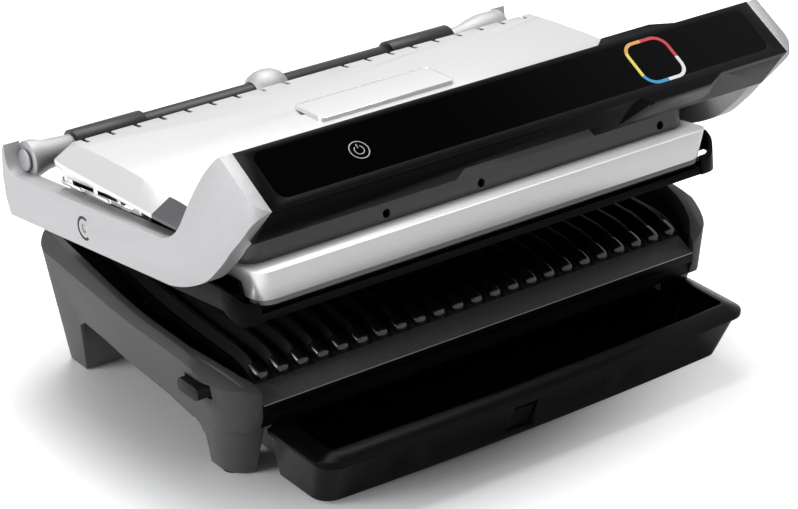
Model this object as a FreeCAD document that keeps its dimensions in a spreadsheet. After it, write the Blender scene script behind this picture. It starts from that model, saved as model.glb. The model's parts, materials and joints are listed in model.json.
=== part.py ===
"""Electric contact grill with its lid half raised: a drip tray, two ribbed cooking plates and a floating lid."""
import FreeCAD, Part
import Sketcher
import math
import os

doc = FreeCAD.newDocument("contact_grill")
V = FreeCAD.Vector

# Driving dimensions in millimetres and degrees. The origin stands under the middle of the grill, on the table.
DIMENSIONS = {
    # base housing
    "base_half_width": 240.0,
    "ridge_half_width": 232.0,
    "land_half_width": 226.0,
    "foot_half_width": 216.5,
    "base_front": -108.2,
    "base_rear": 141.5,
    "ridge_front_height": 73.0,
    "ridge_mid_height": 95.8,
    "ridge_rear_height": 115.5,
    "seam_height": 42.0,
    "wall": 3.0,
    "foot_corner_radius": 22.0,
    "ridge_corner_radius": 47.0,
    "rear_corner_radius": 18.0,
    "corner_cap": 203.3,
    "pad_height": 1.2,
    "pad_radius": 8.0,
    # lower cooking plate
    "plate_half_width": 203.0,
    "lip_half_width": 202.9,
    "rib_count": 23,
    "rib_pitch": 17.55,
    "rib_height": 7.0,
    "rib_crest_half": 1.4,
    "rib_foot_half": 6.8,
    # lid hinge and the angle at which the lid stands
    "hinge_depth": 167.7,
    "hinge_height": 161.8,
    "lid_angle": 8.0,
    "hinge_rod_radius": 5.0,
    "running_gap": 0.06,
    "sleeve_radius": 13.5,
    "rod_cover_radius": 10.8,
    "dome_radius": 18.8,
    "dome_x": -9.0,
    "sleeve_start": 110.0,
    "sleeve_end": 173.0,
    "sleeve_shift": -299.0,
    "cone_large": 14.6,
    # arms and handle
    "arm_outer": 241.8,
    "arm_inner": 228.0,
    "arm_thickness": 13.8,
    "arm_corner": 13.0,
    "pin_depth": -102.1,
    "pin_height": -27.4,
    "pin_radius": 5.0,
    "bush_radius": 9.0,
    "handle_half_width": 231.6,
    "panel_rear_depth": -301.3,
    "panel_rear_height": 68.7,
    "panel_angle": 216.8,
    "inlay_half_width": 220.5,
    "inlay_front": 45.5,
    "inlay_rear": 4.5,
    "inlay_corner": 8.0,
    "inlay_sheet": 1.6,
    "power_x": -144.4,
    "power_radius": 8.0,
    "mode_x": 120.7,
    "button_row": 25.9,
    "ring_half": 20.5,
    "ring_inner": 17.8,
    "ring_corner": 12.0,
    "button_gap": 0.35,
    # upper unit
    "rim_half_width": 226.0,
    "unit_rear": -56.0,
    "frame_half_width": 204.0,
    "frame_front": -260.0,
    "band_top": -29.1,
    "band_bottom": -52.2,
    "cover_half_width": 217.4,
    "cover_brim": 234.0,
    "cover_sheet": 1.2,
    "cover_flat_half": 70.0,
    "slot_pitch": 22.5,
    "slot_start": 28.2,
    "slot_count": 9,
    "rail_inner": 223.5,
    "rail_outer": 225.5,
    # drip tray
    "tray_half_width": 197.0,
    "tray_floor_half_width": 189.6,
    "tray_front": -176.0,
    "tray_floor_front": -160.0,
    "tray_bow": 4.0,
    "tray_rear": -104.5,
    "tray_rim_height": 44.0,
    "tray_floor_height": 4.0,
    "tray_wall": 2.2,
    "tray_corner": 15.0,
    "tray_tongue_half_width": 176.0,
    "tray_tongue_rear": -48.0,
}

sheet = doc.addObject("Spreadsheet::Sheet", "Dimensions")
for row, (alias, number) in enumerate(DIMENSIONS.items(), start=1):
    sheet.set(f"A{row}", alias)
    sheet.set(f"B{row}", str(number))
    sheet.setAlias(f"B{row}", alias)
doc.recompute()

NODES = []


def size(alias):
    """The value of one cell of the sheet."""
    return float(sheet.get(alias))


def keep(label, obj, placement=None):
    """Names a finished sub-part and puts it in the list that is written out."""
    obj.Label = label
    if placement is not None:
        obj.Placement = placement
    NODES.append(obj)
    return obj


def lid_placement():
    """The lid's own level frame, turned up about the hinge."""
    return FreeCAD.Placement(V(0, size("hinge_depth"), size("hinge_height")),
                             FreeCAD.Rotation(V(1, 0, 0), -size("lid_angle")))


def bind(obj, **cells):
    """Binds properties of an object to expressions on the sheet."""
    for prop, expression in cells.items():
        obj.setExpression(prop, expression)
    return obj


def part(kind, name, place=None, **cells):
    """A parametric primitive whose sizes come from the sheet."""
    obj = doc.addObject(f"Part::{kind}", name)
    bind(obj, **cells)
    if place is not None:
        obj.Placement = place
    return obj


def at(x=0.0, y=0.0, z=0.0, axis=None, angle=0.0):
    """A placement with an optional turn."""
    turn = FreeCAD.Rotation(V(*axis), angle) if axis else FreeCAD.Rotation()
    return FreeCAD.Placement(V(x, y, z), turn)


def along_x(x, y=0.0, z=0.0):
    """A placement that lays a cylinder or cone along the width, starting at x."""
    return at(x, y, z, (0, 1, 0), 90)


def cut(name, base, tool):
    """One object minus another."""
    obj = doc.addObject("Part::Cut", name)
    obj.Base = base
    obj.Tool = tool
    return obj


def fuse(name, parts):
    """Several objects joined into one."""
    obj = doc.addObject("Part::MultiFuse", name)
    obj.Shapes = parts
    return obj


def solid(name, shape):
    """A document object that holds a shape worked out from the sheet."""
    obj = doc.addObject("Part::Feature", name)
    obj.Shape = shape
    return obj


def body(name):
    """A design body for sketched features."""
    return doc.addObject("PartDesign::Body", name)


def sketch(owner, name, plane, edges):
    """A sketch on one of the body's own origin planes, drawn from lines, arcs and curves."""
    drawing = owner.newObject("Sketcher::SketchObject", name)
    base = [o for o in owner.Origin.OriginFeatures if o.Role == plane][0]
    drawing.AttachmentSupport = [(base, "")]
    drawing.MapMode = "FlatFace"
    for edge in edges:
        drawing.addGeometry(edge, False)
    return drawing


def pad(owner, drawing, name, length):
    """Raises a sketch to a solid."""
    made = owner.newObject("PartDesign::Pad", name)
    made.Profile = drawing
    made.setExpression("Length", length)
    return made


def flat(pairs):
    """Pairs as points in a sketch plane."""
    return [V(a, b, 0) for a, b in pairs]


def sketch_line(a, b):
    """A straight stretch of a sketch."""
    return Part.LineSegment(V(a[0], a[1], 0), V(b[0], b[1], 0))


def sketch_curve(pairs):
    """A smooth stretch of a sketch."""
    spline = Part.BSplineCurve()
    spline.interpolate(flat(pairs))
    return spline


def curve(points):
    """A smooth edge through the points."""
    spline = Part.BSplineCurve()
    spline.interpolate(points)
    return spline.toShape()


def line(a, b):
    """A straight edge."""
    return Part.makeLine(a, b)


def in_yz(pairs, x=0.0):
    """Depth and height pairs as points at one width."""
    return [V(x, y, z) for y, z in pairs]


def polygon(points):
    """A closed face with straight sides."""
    return Part.Face(Part.makePolygon(list(points) + [points[0]]))


def slab_yz(pairs, half_width):
    """A polygon in depth and height, spread over the whole width."""
    return polygon(in_yz(pairs, -half_width)).extrude(V(2 * half_width, 0, 0))


def prism_yz(pairs, x0, x1):
    """A polygon in depth and height between two widths."""
    return polygon(in_yz(pairs, x0)).extrude(V(x1 - x0, 0, 0))


def box(x0, x1, y0, y1, z0, z1):
    """A block between two corners."""
    return Part.makeBox(x1 - x0, y1 - y0, z1 - z0, V(x0, y0, z0))


def bar(start, end, radius):
    """A round bar between two points."""
    axis = end - start
    return Part.makeCylinder(radius, axis.Length, start, axis)


def mirrored(shape):
    """The same shape on the other side of the middle plane."""
    return shape.mirror(V(0, 0, 0), V(1, 0, 0))


def plan_wire(half_width, front, rear, radius, z, rear_radius=0.0, bow=0.0):
    """A plan outline with rounded front corners, an optional bow in the front edge and optional rear corners."""
    r, q = radius, rear_radius
    k = r * (1 - math.sqrt(0.5))
    j = q * (1 - math.sqrt(0.5))
    edges = []
    left = [V(-half_width, rear - q, z), V(-half_width, front + r, z), V(-half_width + k, front + k, z),
            V(-half_width + r, front, z)]
    right = [V(-p.x, p.y, z) for p in left]
    edges.append(line(left[0], left[1]))
    edges.append(Part.Arc(left[1], left[2], left[3]).toShape())
    if bow:
        edges.append(Part.Arc(left[3], V(0, front - bow, z), right[3]).toShape())
    else:
        edges.append(line(left[3], right[3]))
    edges.append(Part.Arc(right[3], right[2], right[1]).toShape())
    edges.append(line(right[1], right[0]))
    if q:
        edges.append(Part.Arc(right[0], V(half_width - j, rear - j, z), V(half_width - q, rear, z)).toShape())
        edges.append(line(V(half_width - q, rear, z), V(-half_width + q, rear, z)))
        edges.append(Part.Arc(V(-half_width + q, rear, z), V(-half_width + j, rear - j, z), left[0]).toShape())
    else:
        edges.append(line(right[0], left[0]))
    return Part.Wire(edges)


def plan_block(half_width, front, rear, radius, low, high, rear_radius=0.0, bow=0.0):
    """An upright block over a rounded plan outline."""
    outline = plan_wire(half_width, front, rear, radius, low, rear_radius, bow)
    return Part.Face(outline).extrude(V(0, 0, high - low))


def section_wire(upper, lower, x):
    """The closed outline between an upper and a lower smooth profile at one width."""
    top, bottom = in_yz(upper, x), in_yz(lower, x)
    return Part.Wire([curve(top), line(top[-1], bottom[-1]), curve(list(reversed(bottom))), line(bottom[0], top[0])])


def lowered(profile, drop):
    """A profile moved down."""
    return [(y, z - drop) for y, z in profile]


# Base housing. The ridge along the top of each side wall drops at the front and climbs to the rear.
RIDGE = [(size("base_front") + 0.2, size("ridge_front_height")), (-100.7, 80.6), (-91.6, 85.8), (-80.9, 89.7),
         (-56.5, 94.4), (-3.9, size("ridge_mid_height")), (50.7, 101.0), (106.3, 110.2),
         (size("base_rear") + 6.0, size("ridge_rear_height"))]


def base_outline(x, drop):
    """The side view of the base housing at one width, with its top edge lowered by the drop."""
    top = in_yz(lowered(RIDGE, drop), x)
    front, rear, seam, foot = size("base_front"), size("base_rear") + 6.0, size("seam_height"), size("pad_height")
    straight = in_yz([(rear, size("ridge_rear_height") - drop), (rear, foot), (115.0, foot), (101.4, 48.8),
                      (91.7, 55.5), (62.4, 52.6), (36.0, 47.8), (-20.0, 43.5), (-49.7, seam - 4.0),
                      (-104.0, seam + 3.0), (front + 0.2, 57.0), (front + 0.2, size("ridge_front_height") - drop)], x)
    return Part.Wire([curve(top)] + [line(a, b) for a, b in zip(straight, straight[1:])])


def base_envelope(inset):
    """The flared outer form of the base: narrow at the feet, wide at the ridge, with upright corners rounded."""
    low, high = size("foot_half_width") - inset, size("base_half_width") - inset
    flare_height, bottom, over = 100.0, -1.0, 125.0
    slope = (high - low) / flare_height
    front, rear = size("base_front") + inset, size("base_rear") - inset
    sharp = 4.0
    corners = ((bottom, size("foot_corner_radius"), sharp),
               (over, size("ridge_corner_radius"), size("rear_corner_radius")))
    wires = [plan_wire(low + slope * height, front, rear, radius - inset, height, max(rear_radius - inset, 0.5))
             for height, radius, rear_radius in corners]
    return Part.makeLoft(wires, True, True)


def corner_facet():
    """What is cut off above the sloping facet where the ridge turns inwards at the right front corner."""
    first, last = V(215.5, -100.7, 80.6), V(228.0, -67.3, 92.6)
    along = last - first
    outward = V(37.5, -14.0, -23.3)
    start, end = first - along * 0.5, last + along * 0.35
    return polygon([start, end, end + outward, start + outward]).extrude(V(0, 0, 80))


def base_shell():
    """The base housing: two flared side walls with a ridge, the rear wall and the rear compartment."""
    ridge, outer, land = size("ridge_half_width"), size("base_half_width"), size("land_half_width")
    wall, rear, front, cap = size("wall"), size("base_rear"), size("base_front"), size("corner_cap")
    middle = Part.Face(base_outline(-ridge, 0)).extrude(V(2 * ridge, 0, 0))
    side = Part.makeLoft([base_outline(ridge, 0), base_outline(outer + 8.0, 14.0)], True, True)
    facet = corner_facet()
    block = middle.fuse([side, mirrored(side)]).common(base_envelope(0)).cut([facet, mirrored(facet)])
    behind = rear + 10.0
    room = slab_yz([(-86.0, 20.0), (-86.0, 150.0), (126.5, 150.0), (126.5, 103.0), (behind, 103.0),
                    (behind, size("pad_height") + wall), (117.5, size("pad_height") + wall), (105.5, 46.0),
                    (105.5, 20.0)], land)
    inside = [(cap, front - 5.0), (cap, -104.0), (207.0, -99.0), (212.5, -92.0), (217.5, -81.0), (222.0, -67.3),
              (land, -50.0), (land, behind)]
    plan = polygon([V(x, y, 20.0) for x, y in inside] + [V(-x, y, 20.0) for x, y in reversed(inside)])
    plan = plan.extrude(V(0, 0, 130.0))
    corners = plan.common(box(-land, land, front - 5, -80.0, 47.5, 150.0))
    mouth = box(-cap, cap, front - 5, -80.0, 20.0, 150.0).fuse(corners)
    plan = plan.fuse(box(-land, land, -86.0, -49.0, 20.0, 47.5))
    hollow = room.common(base_envelope(wall)).common(plan).fuse(mouth)
    lighten = slab_yz([(-80.0, 46.0), (-80.0, 72.0), (-50.0, 82.0), (60.0, 88.0), (behind, 100.0),
                       (behind, size("pad_height") + wall), (118.5, size("pad_height") + wall),
                       (104.5, 51.5), (92.5, 58.8), (61.5, 55.8), (35.0, 51.0), (-20.0, 46.7), (-50.0, 44.0)],
                      outer + 20.0).common(base_envelope(wall))
    shell = block.cut(hollow).cut(lighten)
    inlet = bar(V(-150, rear - 10, 24), V(-150, rear + 10, 24), 9.0)
    slot = box(-outer, -land, -84.6, -56.4, 68.9, 80.6)
    slider_room = box(-land, -210.0, -85.2, -33.0, 59.0, 80.6)
    return shell.cut([inlet, slot, slider_room])


shell_shape = base_shell()
keep("base_shell", solid("BaseShell", shell_shape))


def bottom_cover():
    """The floor of the base, bent to follow the arch, with pillars that carry the plate."""
    cap = size("corner_cap") - 0.5
    under = [(-49.7, 38.3), (-20.0, 43.8), (36.0, 48.1), (62.4, 52.9), (91.4, 55.8), (101.0, 49.2), (105.0, 46.6)]
    over = [(104.0, 50.0), (91.4, 58.4), (62.4, 55.4), (36.0, 50.6), (-20.0, 46.5), (-49.7, 41.5)]
    wide = slab_yz([(-85.4, 42.9)] + under + over + [(-85.4, 46.5)], size("land_half_width"))
    front = slab_yz([(-85.4, 46.5), (-101.0, 48.4), (-101.0, 57.0), (-104.0, 57.0), (-104.0, 45.3),
                     (-85.4, 42.9)], cap)
    floor = wide.common(base_envelope(size("wall"))).fuse([front])
    pillars = [box(-206.0, -203.6, -51.5, -36.5, 41.0, 71.0)]
    for x in (-150.0, 150.0):
        for y, top in ((-60.0, 79.0), (70.0, 88.0)):
            pillars.append(bar(V(x, y, 42.0), V(x, y, 64.0), 9.0))
            pillars.append(bar(V(x, y, 60.0), V(x, y, top), 5.0))
    return floor.fuse(pillars)


floor_shape = bottom_cover()


def front_leg():
    """One front leg: it hangs from the seam, rounded at the outer corner and drawn in towards the foot."""
    seam, foot = size("seam_height"), size("pad_height")
    profile = [(-112.0, seam + 4.3), (-49.7, seam - 3.7), (-56.0, 34.0), (-60.5, 26.0), (-57.5, foot),
               (-112.0, foot)]
    inner = [(-92.0, seam - 1.0), (-56.0, seam - 6.0), (-59.0, 31.0), (-63.5, 26.0), (-62.5, foot + 3.0),
             (-82.0, foot + 3.0), (-86.0, 19.5)]
    foot_plan = plan_wire(215.5, -88.7, 0.0, 20.0, 0.0)
    seam_plan = plan_wire(228.9, -105.0, 0.0, 33.0, 57.0)
    outer = prism_yz(profile, 198.0, 260.0).common(Part.makeLoft([foot_plan, seam_plan], True, True))
    room = prism_yz(inner, 201.5, 208.0)
    return outer.cut(room)


leg_shape = front_leg()
keep("bottom_cover", solid("BottomCover", floor_shape))
keep("front_leg_right", solid("FrontLegRight", leg_shape.cut(floor_shape).cut(shell_shape)))
keep("front_leg_left", solid("FrontLegLeft", mirrored(leg_shape).cut(floor_shape).cut(shell_shape)))

pads = []
for index, (x, y) in enumerate(((-207.0, -73.0), (207.0, -73.0), (-202.0, 128.5), (202.0, 128.5))):
    pads.append(part("Cylinder", f"Pad{index}", at(x, y, 0), Radius="Dimensions.pad_radius",
                     Height="Dimensions.pad_height"))
keep("foot_pads", fuse("FootPads", pads))

# Lower cooking plate. The crest line runs from the nose behind the lip up to the rear.
NOSE = [(-90.6, 75.5), (-88.5, 80.5), (-84.0, 85.0), (-77.0, 88.6), (-64.0, 91.0)]
CREST_RUN = [(-64.0, 91.0), (-6.0, 92.6), (37.0, 96.3), (85.0, 103.6), (121.0, 109.6)]
VALLEY_NOSE = [(-90.6, 73.0), (-88.5, 75.0), (-84.0, 78.4), (-77.0, 81.4), (-64.0, 84.0)]
UNDER_RUN = [(121.0, 98.1), (37.0, 84.8), (-6.0, 81.1), (-64.0, 79.5), (-90.6, 68.5)]


def plate_section(nose, run, x):
    """The plate's outline at one width: the nose, the run on top and the underside."""
    return Part.makePolygon(in_yz(nose + run[1:] + UNDER_RUN + nose[:1], x))


def lower_plate():
    """The lower plate: one ruled skin that rises and falls over the ribs, and the lip in front."""
    height = size("rib_height")
    crest_half, foot_half, pitch = size("rib_crest_half"), size("rib_foot_half"), size("rib_pitch")
    count, edge = int(size("rib_count")), size("plate_half_width")
    crest = (NOSE, CREST_RUN)
    valley = (VALLEY_NOSE, lowered(CREST_RUN, height))
    border = (lowered(VALLEY_NOSE, -1.6), lowered(CREST_RUN, height - 1.6))
    stations = [(-edge, border), (-edge + 1.8, border), (-edge + 2.6, valley)]
    for rib in range(count):
        middle = (rib - (count - 1) / 2.0) * pitch
        stations += [(middle - foot_half, valley), (middle - crest_half, crest), (middle + crest_half, crest),
                     (middle + foot_half, valley)]
    stations += [(edge - 2.6, valley), (edge - 1.8, border), (edge, border)]
    ribbed = Part.makeLoft([plate_section(nose, run, x) for x, (nose, run) in stations], True, True)
    lip = slab_yz([(-90.0, 73.2), (-91.0, 73.2), (-108.2, 64.9), (-108.2, 57.4), (-105.0, 57.4), (-104.0, 60.4),
                   (-90.0, 67.6)], size("lip_half_width"))
    return ribbed.fuse(lip)


keep("lower_plate", solid("LowerPlate", lower_plate()))


def lower_reflector():
    """A bright sheet on the pillars that sends the heat up, with turned up edges."""
    tray = box(-186.0, 186.0, -76.0, 96.0, 64.0, 64.8)
    edges = [box(-186.0, 186.0, -76.0, -75.2, 64.0, 69.0), box(-186.0, -185.2, -76.0, 96.0, 64.0, 69.0),
             box(185.2, 186.0, -76.0, 96.0, 64.0, 69.0), box(-186.0, 186.0, 95.2, 96.0, 64.0, 69.0)]
    tray = tray.fuse(edges)
    for x in (-150.0, 150.0):
        for y in (-60.0, 70.0):
            tray = tray.cut(bar(V(x, y, 60.0), V(x, y, 70.0), 5.0))
    return tray


keep("lower_reflector", solid("LowerReflector", lower_reflector()))


def element(depth_front, depth_rear, height, reach, radius):
    """A heating tube bent into a loop with three folds, its two cold ends pointing back."""
    lane = (depth_rear - depth_front) / 3.0
    rows = [depth_rear, depth_rear - lane, depth_rear - 2 * lane, depth_front]
    bend = lane / 2.0
    path = [line(V(reach - 60, rows[0], height), V(reach - bend, rows[0], height)),
            Part.Arc(V(reach - bend, rows[0], height), V(reach, rows[0] - bend, height),
                     V(reach - bend, rows[1], height)).toShape(),
            line(V(reach - bend, rows[1], height), V(-reach + bend, rows[1], height)),
            Part.Arc(V(-reach + bend, rows[1], height), V(-reach, rows[1] - bend, height),
                     V(-reach + bend, rows[2], height)).toShape(),
            line(V(-reach + bend, rows[2], height), V(reach - bend, rows[2], height)),
            Part.Arc(V(reach - bend, rows[2], height), V(reach, rows[2] - bend, height),
                     V(reach - bend, rows[3], height)).toShape(),
            line(V(reach - bend, rows[3], height), V(-reach + 30, rows[3], height))]
    wire = Part.Wire(path)
    corners = [V(reach - 60, rows[0] + radius * math.cos(math.radians(22.5 + 45 * k)),
                 height + radius * math.sin(math.radians(22.5 + 45 * k))) for k in range(8)]
    ring = Part.makePolygon(corners + corners[:1])
    return wire.makePipeShell([ring], True, True)


keep("lower_element", solid("LowerElement", element(-56.0, 76.0, 71.5, 140.0, 3.2)))
clips = []
for index, (x, y) in enumerate(((-80.0, 32.0), (80.0, 32.0), (-80.0, -12.0), (80.0, -12.0))):
    clips.append(solid(f"LowerClip{index}", box(x - 4, x + 4, y - 4, y + 4, 64.8, 68.3)))
keep("lower_clips", fuse("LowerClips", clips))
keep("lower_sensor", solid("LowerSensor", bar(V(0, 10, 64.8), V(0, 10, 80.5), 8.0)))
keep("power_board", part("Box", "PowerBoard", at(-60, 136.9, 12)))
board = NODES[-1]
board.Length, board.Width, board.Height = 120, 1.6, 70
keep("terminal_block", solid("TerminalBlock", box(-40, 10, 126.5, 136.9, 16, 34).cut(
    [box(-36 + 15 * k, -28 + 15 * k, 125.0, 133.0, 20, 30) for k in range(3)])))
gland_y = size("base_rear")
keep("cord_gland", solid("CordGland", bar(V(-150, gland_y - 3, 24), V(-150, gland_y + 6, 24), 8.9).fuse(
    [bar(V(-150, gland_y, 24), V(-150, gland_y + 3, 24), 12.5)]).cut(
    bar(V(-150, gland_y - 5, 24), V(-150, gland_y + 10, 24), 4.0))))
keep("base_screws", solid("BaseScrews", Part.makeCompound([
    bar(V(x, y, 0), V(x, y, 1.6), 3.6).translated(V(0, 0, z))
    for x, y, z in ((-120, 10, 44.2), (120, 10, 44.2), (-120, -62, 38.2), (120, -62, 38.2))]).cut(floor_shape)))

# Hinge posts with their sleeves, on the rear deck of the base.
hy, hz = size("hinge_depth"), size("hinge_height")


def hinge_post():
    """One post that reaches up and back from the rear deck and ends in a bored sleeve."""
    inner, outer = size("sleeve_start") + 0.3, size("sleeve_end") - 0.3
    web = prism_yz([(127.0, 100.0), (141.5, 100.0), (141.5, 112.0), (176.5, 151.0), (159.0, 172.0), (141.0, 150.0)],
                   inner + 6.0, outer - 6.0)
    sleeve = bar(V(inner, hy, hz), V(outer, hy, hz), size("sleeve_radius"))
    bore = bar(V(inner - 9, hy, hz), V(outer + 9, hy, hz), size("hinge_rod_radius") + size("running_gap"))
    slim = prism_yz([(146.0, 128.0), (160.0, 143.5), (157.0, 150.0), (147.0, 139.0)], inner + 14.0, outer - 14.0)
    return web.cut(shell_shape).fuse(sleeve).cut(bore).cut(slim)


post_shape = hinge_post()
post_shape = [s for s in post_shape.Solids if s.Volume > 1000][0]
keep("hinge_post_right", solid("HingePostRight", post_shape))
keep("hinge_post_left", solid("HingePostLeft", post_shape.translated(V(size("sleeve_shift"), 0, 0))))


# Drip tray: a wide pan in front of the legs with a narrower tongue between them.
def pan(inset, low, high):
    """The flared form of the tray at an inset, from the floor to the rim."""
    bottom = plan_wire(size("tray_floor_half_width") - inset, size("tray_floor_front") + inset,
                       size("tray_rear") - inset, size("tray_corner") - inset, low, 3.0, size("tray_bow"))
    rim = plan_wire(size("tray_half_width") - inset, size("tray_front") + inset,
                    size("tray_rear") - inset, size("tray_corner") - inset, high, 3.0, size("tray_bow"))
    return Part.makeLoft([bottom, rim], True, True)


def drip_tray():
    """The tray with its sloping rim flange and the tongue that slides under the base."""
    wall, floor, rim = size("tray_wall"), size("tray_floor_height"), size("tray_rim_height")
    tongue, rear = size("tray_tongue_half_width"), size("tray_tongue_rear")
    bead, flange, rise = 2.6, 10.0, 5.0
    half, front, back, corner = size("tray_half_width"), size("tray_front"), size("tray_rear"), size("tray_corner")
    edge = plan_block(half + bead, front - bead, back, corner + bead, rim - bead, rim, 3.0, size("tray_bow"))
    slope = Part.makeLoft([plan_wire(half + bead, front - bead, back, corner + bead, rim, 3.0, size("tray_bow")),
                           plan_wire(half - flange, front + flange, back, corner - flange, rim + rise, 3.0,
                                     size("tray_bow"))], True, True)
    outer = pan(0.0, floor, rim).fuse([edge, slope])
    outer = outer.fuse(plan_block(tongue, -140.0, rear, 4.0, floor, 37.0, 6.0))
    inner = pan(wall, floor + wall, rim - bead)
    inner = inner.fuse(plan_block(tongue - wall, -130.0, rear - wall, 4.0, floor + wall, 60.0, 5.0))
    mouth = plan_block(half - flange - wall, front + flange + wall, back - wall, corner - flange, rim - bead - 1.0,
                       60.0, 3.0, size("tray_bow"))
    feet = [box(x - 12, x + 12, -150.0, -145.0, 0.0, floor) for x in (-150.0, 150.0)]
    feet += [box(x - 12, x + 12, -75.0, -70.0, 0.0, floor) for x in (-150.0, 150.0)]
    notch = prism_yz([(-200.0, 12.0), (-165.8, 12.0), (-175.0, 36.0), (-200.0, 36.0)], -31.0, -9.0)
    return outer.cut([inner, mouth, notch]).fuse(feet)


keep("drip_tray", solid("DripTray", drip_tray()))
for side, name in ((-1, "tray_rail_left"), (1, "tray_rail_right")):
    rail = prism_yz([(-92.0, 30.0), (-92.0, 48.0), (-40.0, 48.0), (-40.0, 30.0)], 177.0, 180.0)
    rail = rail if side > 0 else mirrored(rail)
    keep(name, solid(name.title().replace("_", ""), rail.cut(floor_shape)))
NODES[-1].Shape = [s for s in NODES[-1].Shape.Solids if s.BoundBox.ZMin < 31.0][0]
NODES[-2].Shape = [s for s in NODES[-2].Shape.Solids if s.BoundBox.ZMin < 31.0][0]

# Lower release: a small slider in the left wall with a latch under the plate.
knob = box(-size("arm_outer"), -224.6, -84.0, -57.0, 69.5, 80.0)
knob = knob.makeFillet(4.6, [e for e in knob.Edges if abs(e.BoundBox.XLength - e.Length) < 0.01])
keep("lower_release_button", solid("LowerReleaseButton", knob.fuse(
    [box(-225.8, -222.5, -84.5, -34.0, 59.5, 80.0), box(-223.0, -203.5, -64.0, -52.0, 62.0, 66.0)])))
keep("lower_latch", solid("LowerLatch", box(-203.5, -190.0, -64.0, -48.0, 60.0, 67.5).fuse(
    [box(-194.0, -190.0, -64.0, -48.0, 60.0, 73.0)])))


leaf = [V(-222.0, -44.0, 0), V(-206.2, -37.5, 0), V(-206.2, -36.9, 0), V(-222.5, -43.6, 0), V(-222.5, -44.4, 0),
        V(-206.2, -51.1, 0), V(-206.2, -50.5, 0)]
keep("lower_release_spring", solid("LowerReleaseSpring", polygon(leaf).extrude(V(0, 0, 4.0)).translated(
    V(0, 0, 66.5))))

# Lid: two arms joined by a shaft at the rear and by the handle in front.
ARM_UNDER = [(-217.0, -42.6), (-230.5, -40.4), (-244.0, -36.8), (-258.0, -31.6), (-268.5, -26.4), (-280.0, -17.9),
             (-288.7, -10.9), (-300.7, 0.4)]
ARM_RISE = [(-301.3, 68.7), (-296.0, 65.6), (-288.7, 60.4), (-280.0, 53.2), (-266.0, 39.0), (-252.6, 23.4),
            (-241.0, 8.6), (-233.0, 0.4), (-224.9, -4.7), (-211.0, -9.0)]
ARM_HEEL = [(-2.0, -9.0), (4.0, -6.6), (7.6, -1.0), (8.8, 6.0), (9.0, 13.4)]


def arm(name, side):
    """One cast arm, padded from its side view and rounded towards the handle."""
    owner = body(name)
    rear = [(9.0, 13.4), (12.6, 9.0), (16.0, -12.3), (15.8, -28.0), (12.0, -41.4), (10.0, -42.6), (-217.0, -42.6)]
    edges = [sketch_line(a, b) for a, b in zip(rear, rear[1:])]
    edges.append(sketch_curve(ARM_UNDER))
    edges.append(sketch_line(ARM_UNDER[-1], (-314.0, 11.5)))
    edges.append(sketch_line((-314.0, 11.5), (-343.1, 37.4)))
    edges.append(sketch_line((-343.1, 37.4), (-301.3, 68.7)))
    edges.append(sketch_curve(ARM_RISE))
    edges.append(sketch_line(ARM_RISE[-1], ARM_HEEL[0]))
    edges.append(sketch_curve(ARM_HEEL))
    drawing = sketch(owner, f"{name}Side", "YZ_Plane", edges)
    drawing.AttachmentOffset = at(0, 0, side * size("arm_inner") if side > 0 else -size("arm_outer"))
    pad(owner, drawing, f"{name}Pad", "Dimensions.arm_thickness")
    doc.recompute()
    return owner


def handle_section(x0, x1):
    """The cross section of the handle between two widths, in the lid's frame."""
    return prism_yz([panel_point(s, d) for s, d in HANDLE_SECTION], x0, x1)


def panel_point(s, d):
    """A point of the handle in the lid's frame: distance from the rear edge and depth below the panel."""
    turn = math.radians(size("panel_angle"))
    y = size("panel_rear_depth") + s * math.cos(turn) - d * math.sin(turn)
    z = size("panel_rear_height") + s * math.sin(turn) + d * math.cos(turn)
    return (y, z)


HANDLE_SECTION = [(0.0, 0.0), (52.2, 0.0), (47.2, 41.0), (38.0, 41.5), (6.0, 28.0), (-3.0, 12.0)]
BUMP_SECTION = [(-5.0, 0.0), (59.3, 0.0), (47.4, 38.4), (30.0, 30.0), (0.0, 20.0), (-6.0, 12.0)]
BUMP_OUTLINE = [(84.0, 10.0), (86.0, 0.0), (92.0, -5.0), (138.0, -5.0), (162.0, 0.5), (166.0, 10.0), (166.0, 52.0),
                (150.0, 59.3), (96.0, 59.3), (88.0, 52.0), (84.0, 40.0)]


def finished_arm(name, side):
    """The arm with its rounded corner, the seat of the handle and the pivot hole."""
    raw = arm(name, side)
    shape = raw.Shape
    half = size("handle_half_width")
    seat = handle_section(-half, half)
    plan = plan_block(size("arm_outer"), -343.2, 40.0, size("arm_corner"), -80.0, 120.0)
    pivot = bar(V(-236.0, size("pin_depth"), size("pin_height")), V(236.0, size("pin_depth"), size("pin_height")),
                size("pin_radius"))
    head = bar(V(-250.0, size("pin_depth"), size("pin_height")), V(250.0, size("pin_depth"), size("pin_height")), 3.6)
    shape = shape.common(plan).cut([seat, pivot, head])
    return max(shape.Solids, key=lambda s: s.Volume)


for label, name, side in (("arm_right", "ArmRight", 1), ("arm_left", "ArmLeft", -1)):
    keep(label, solid(f"{name}Finished", finished_arm(name, side)), lid_placement())

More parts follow.
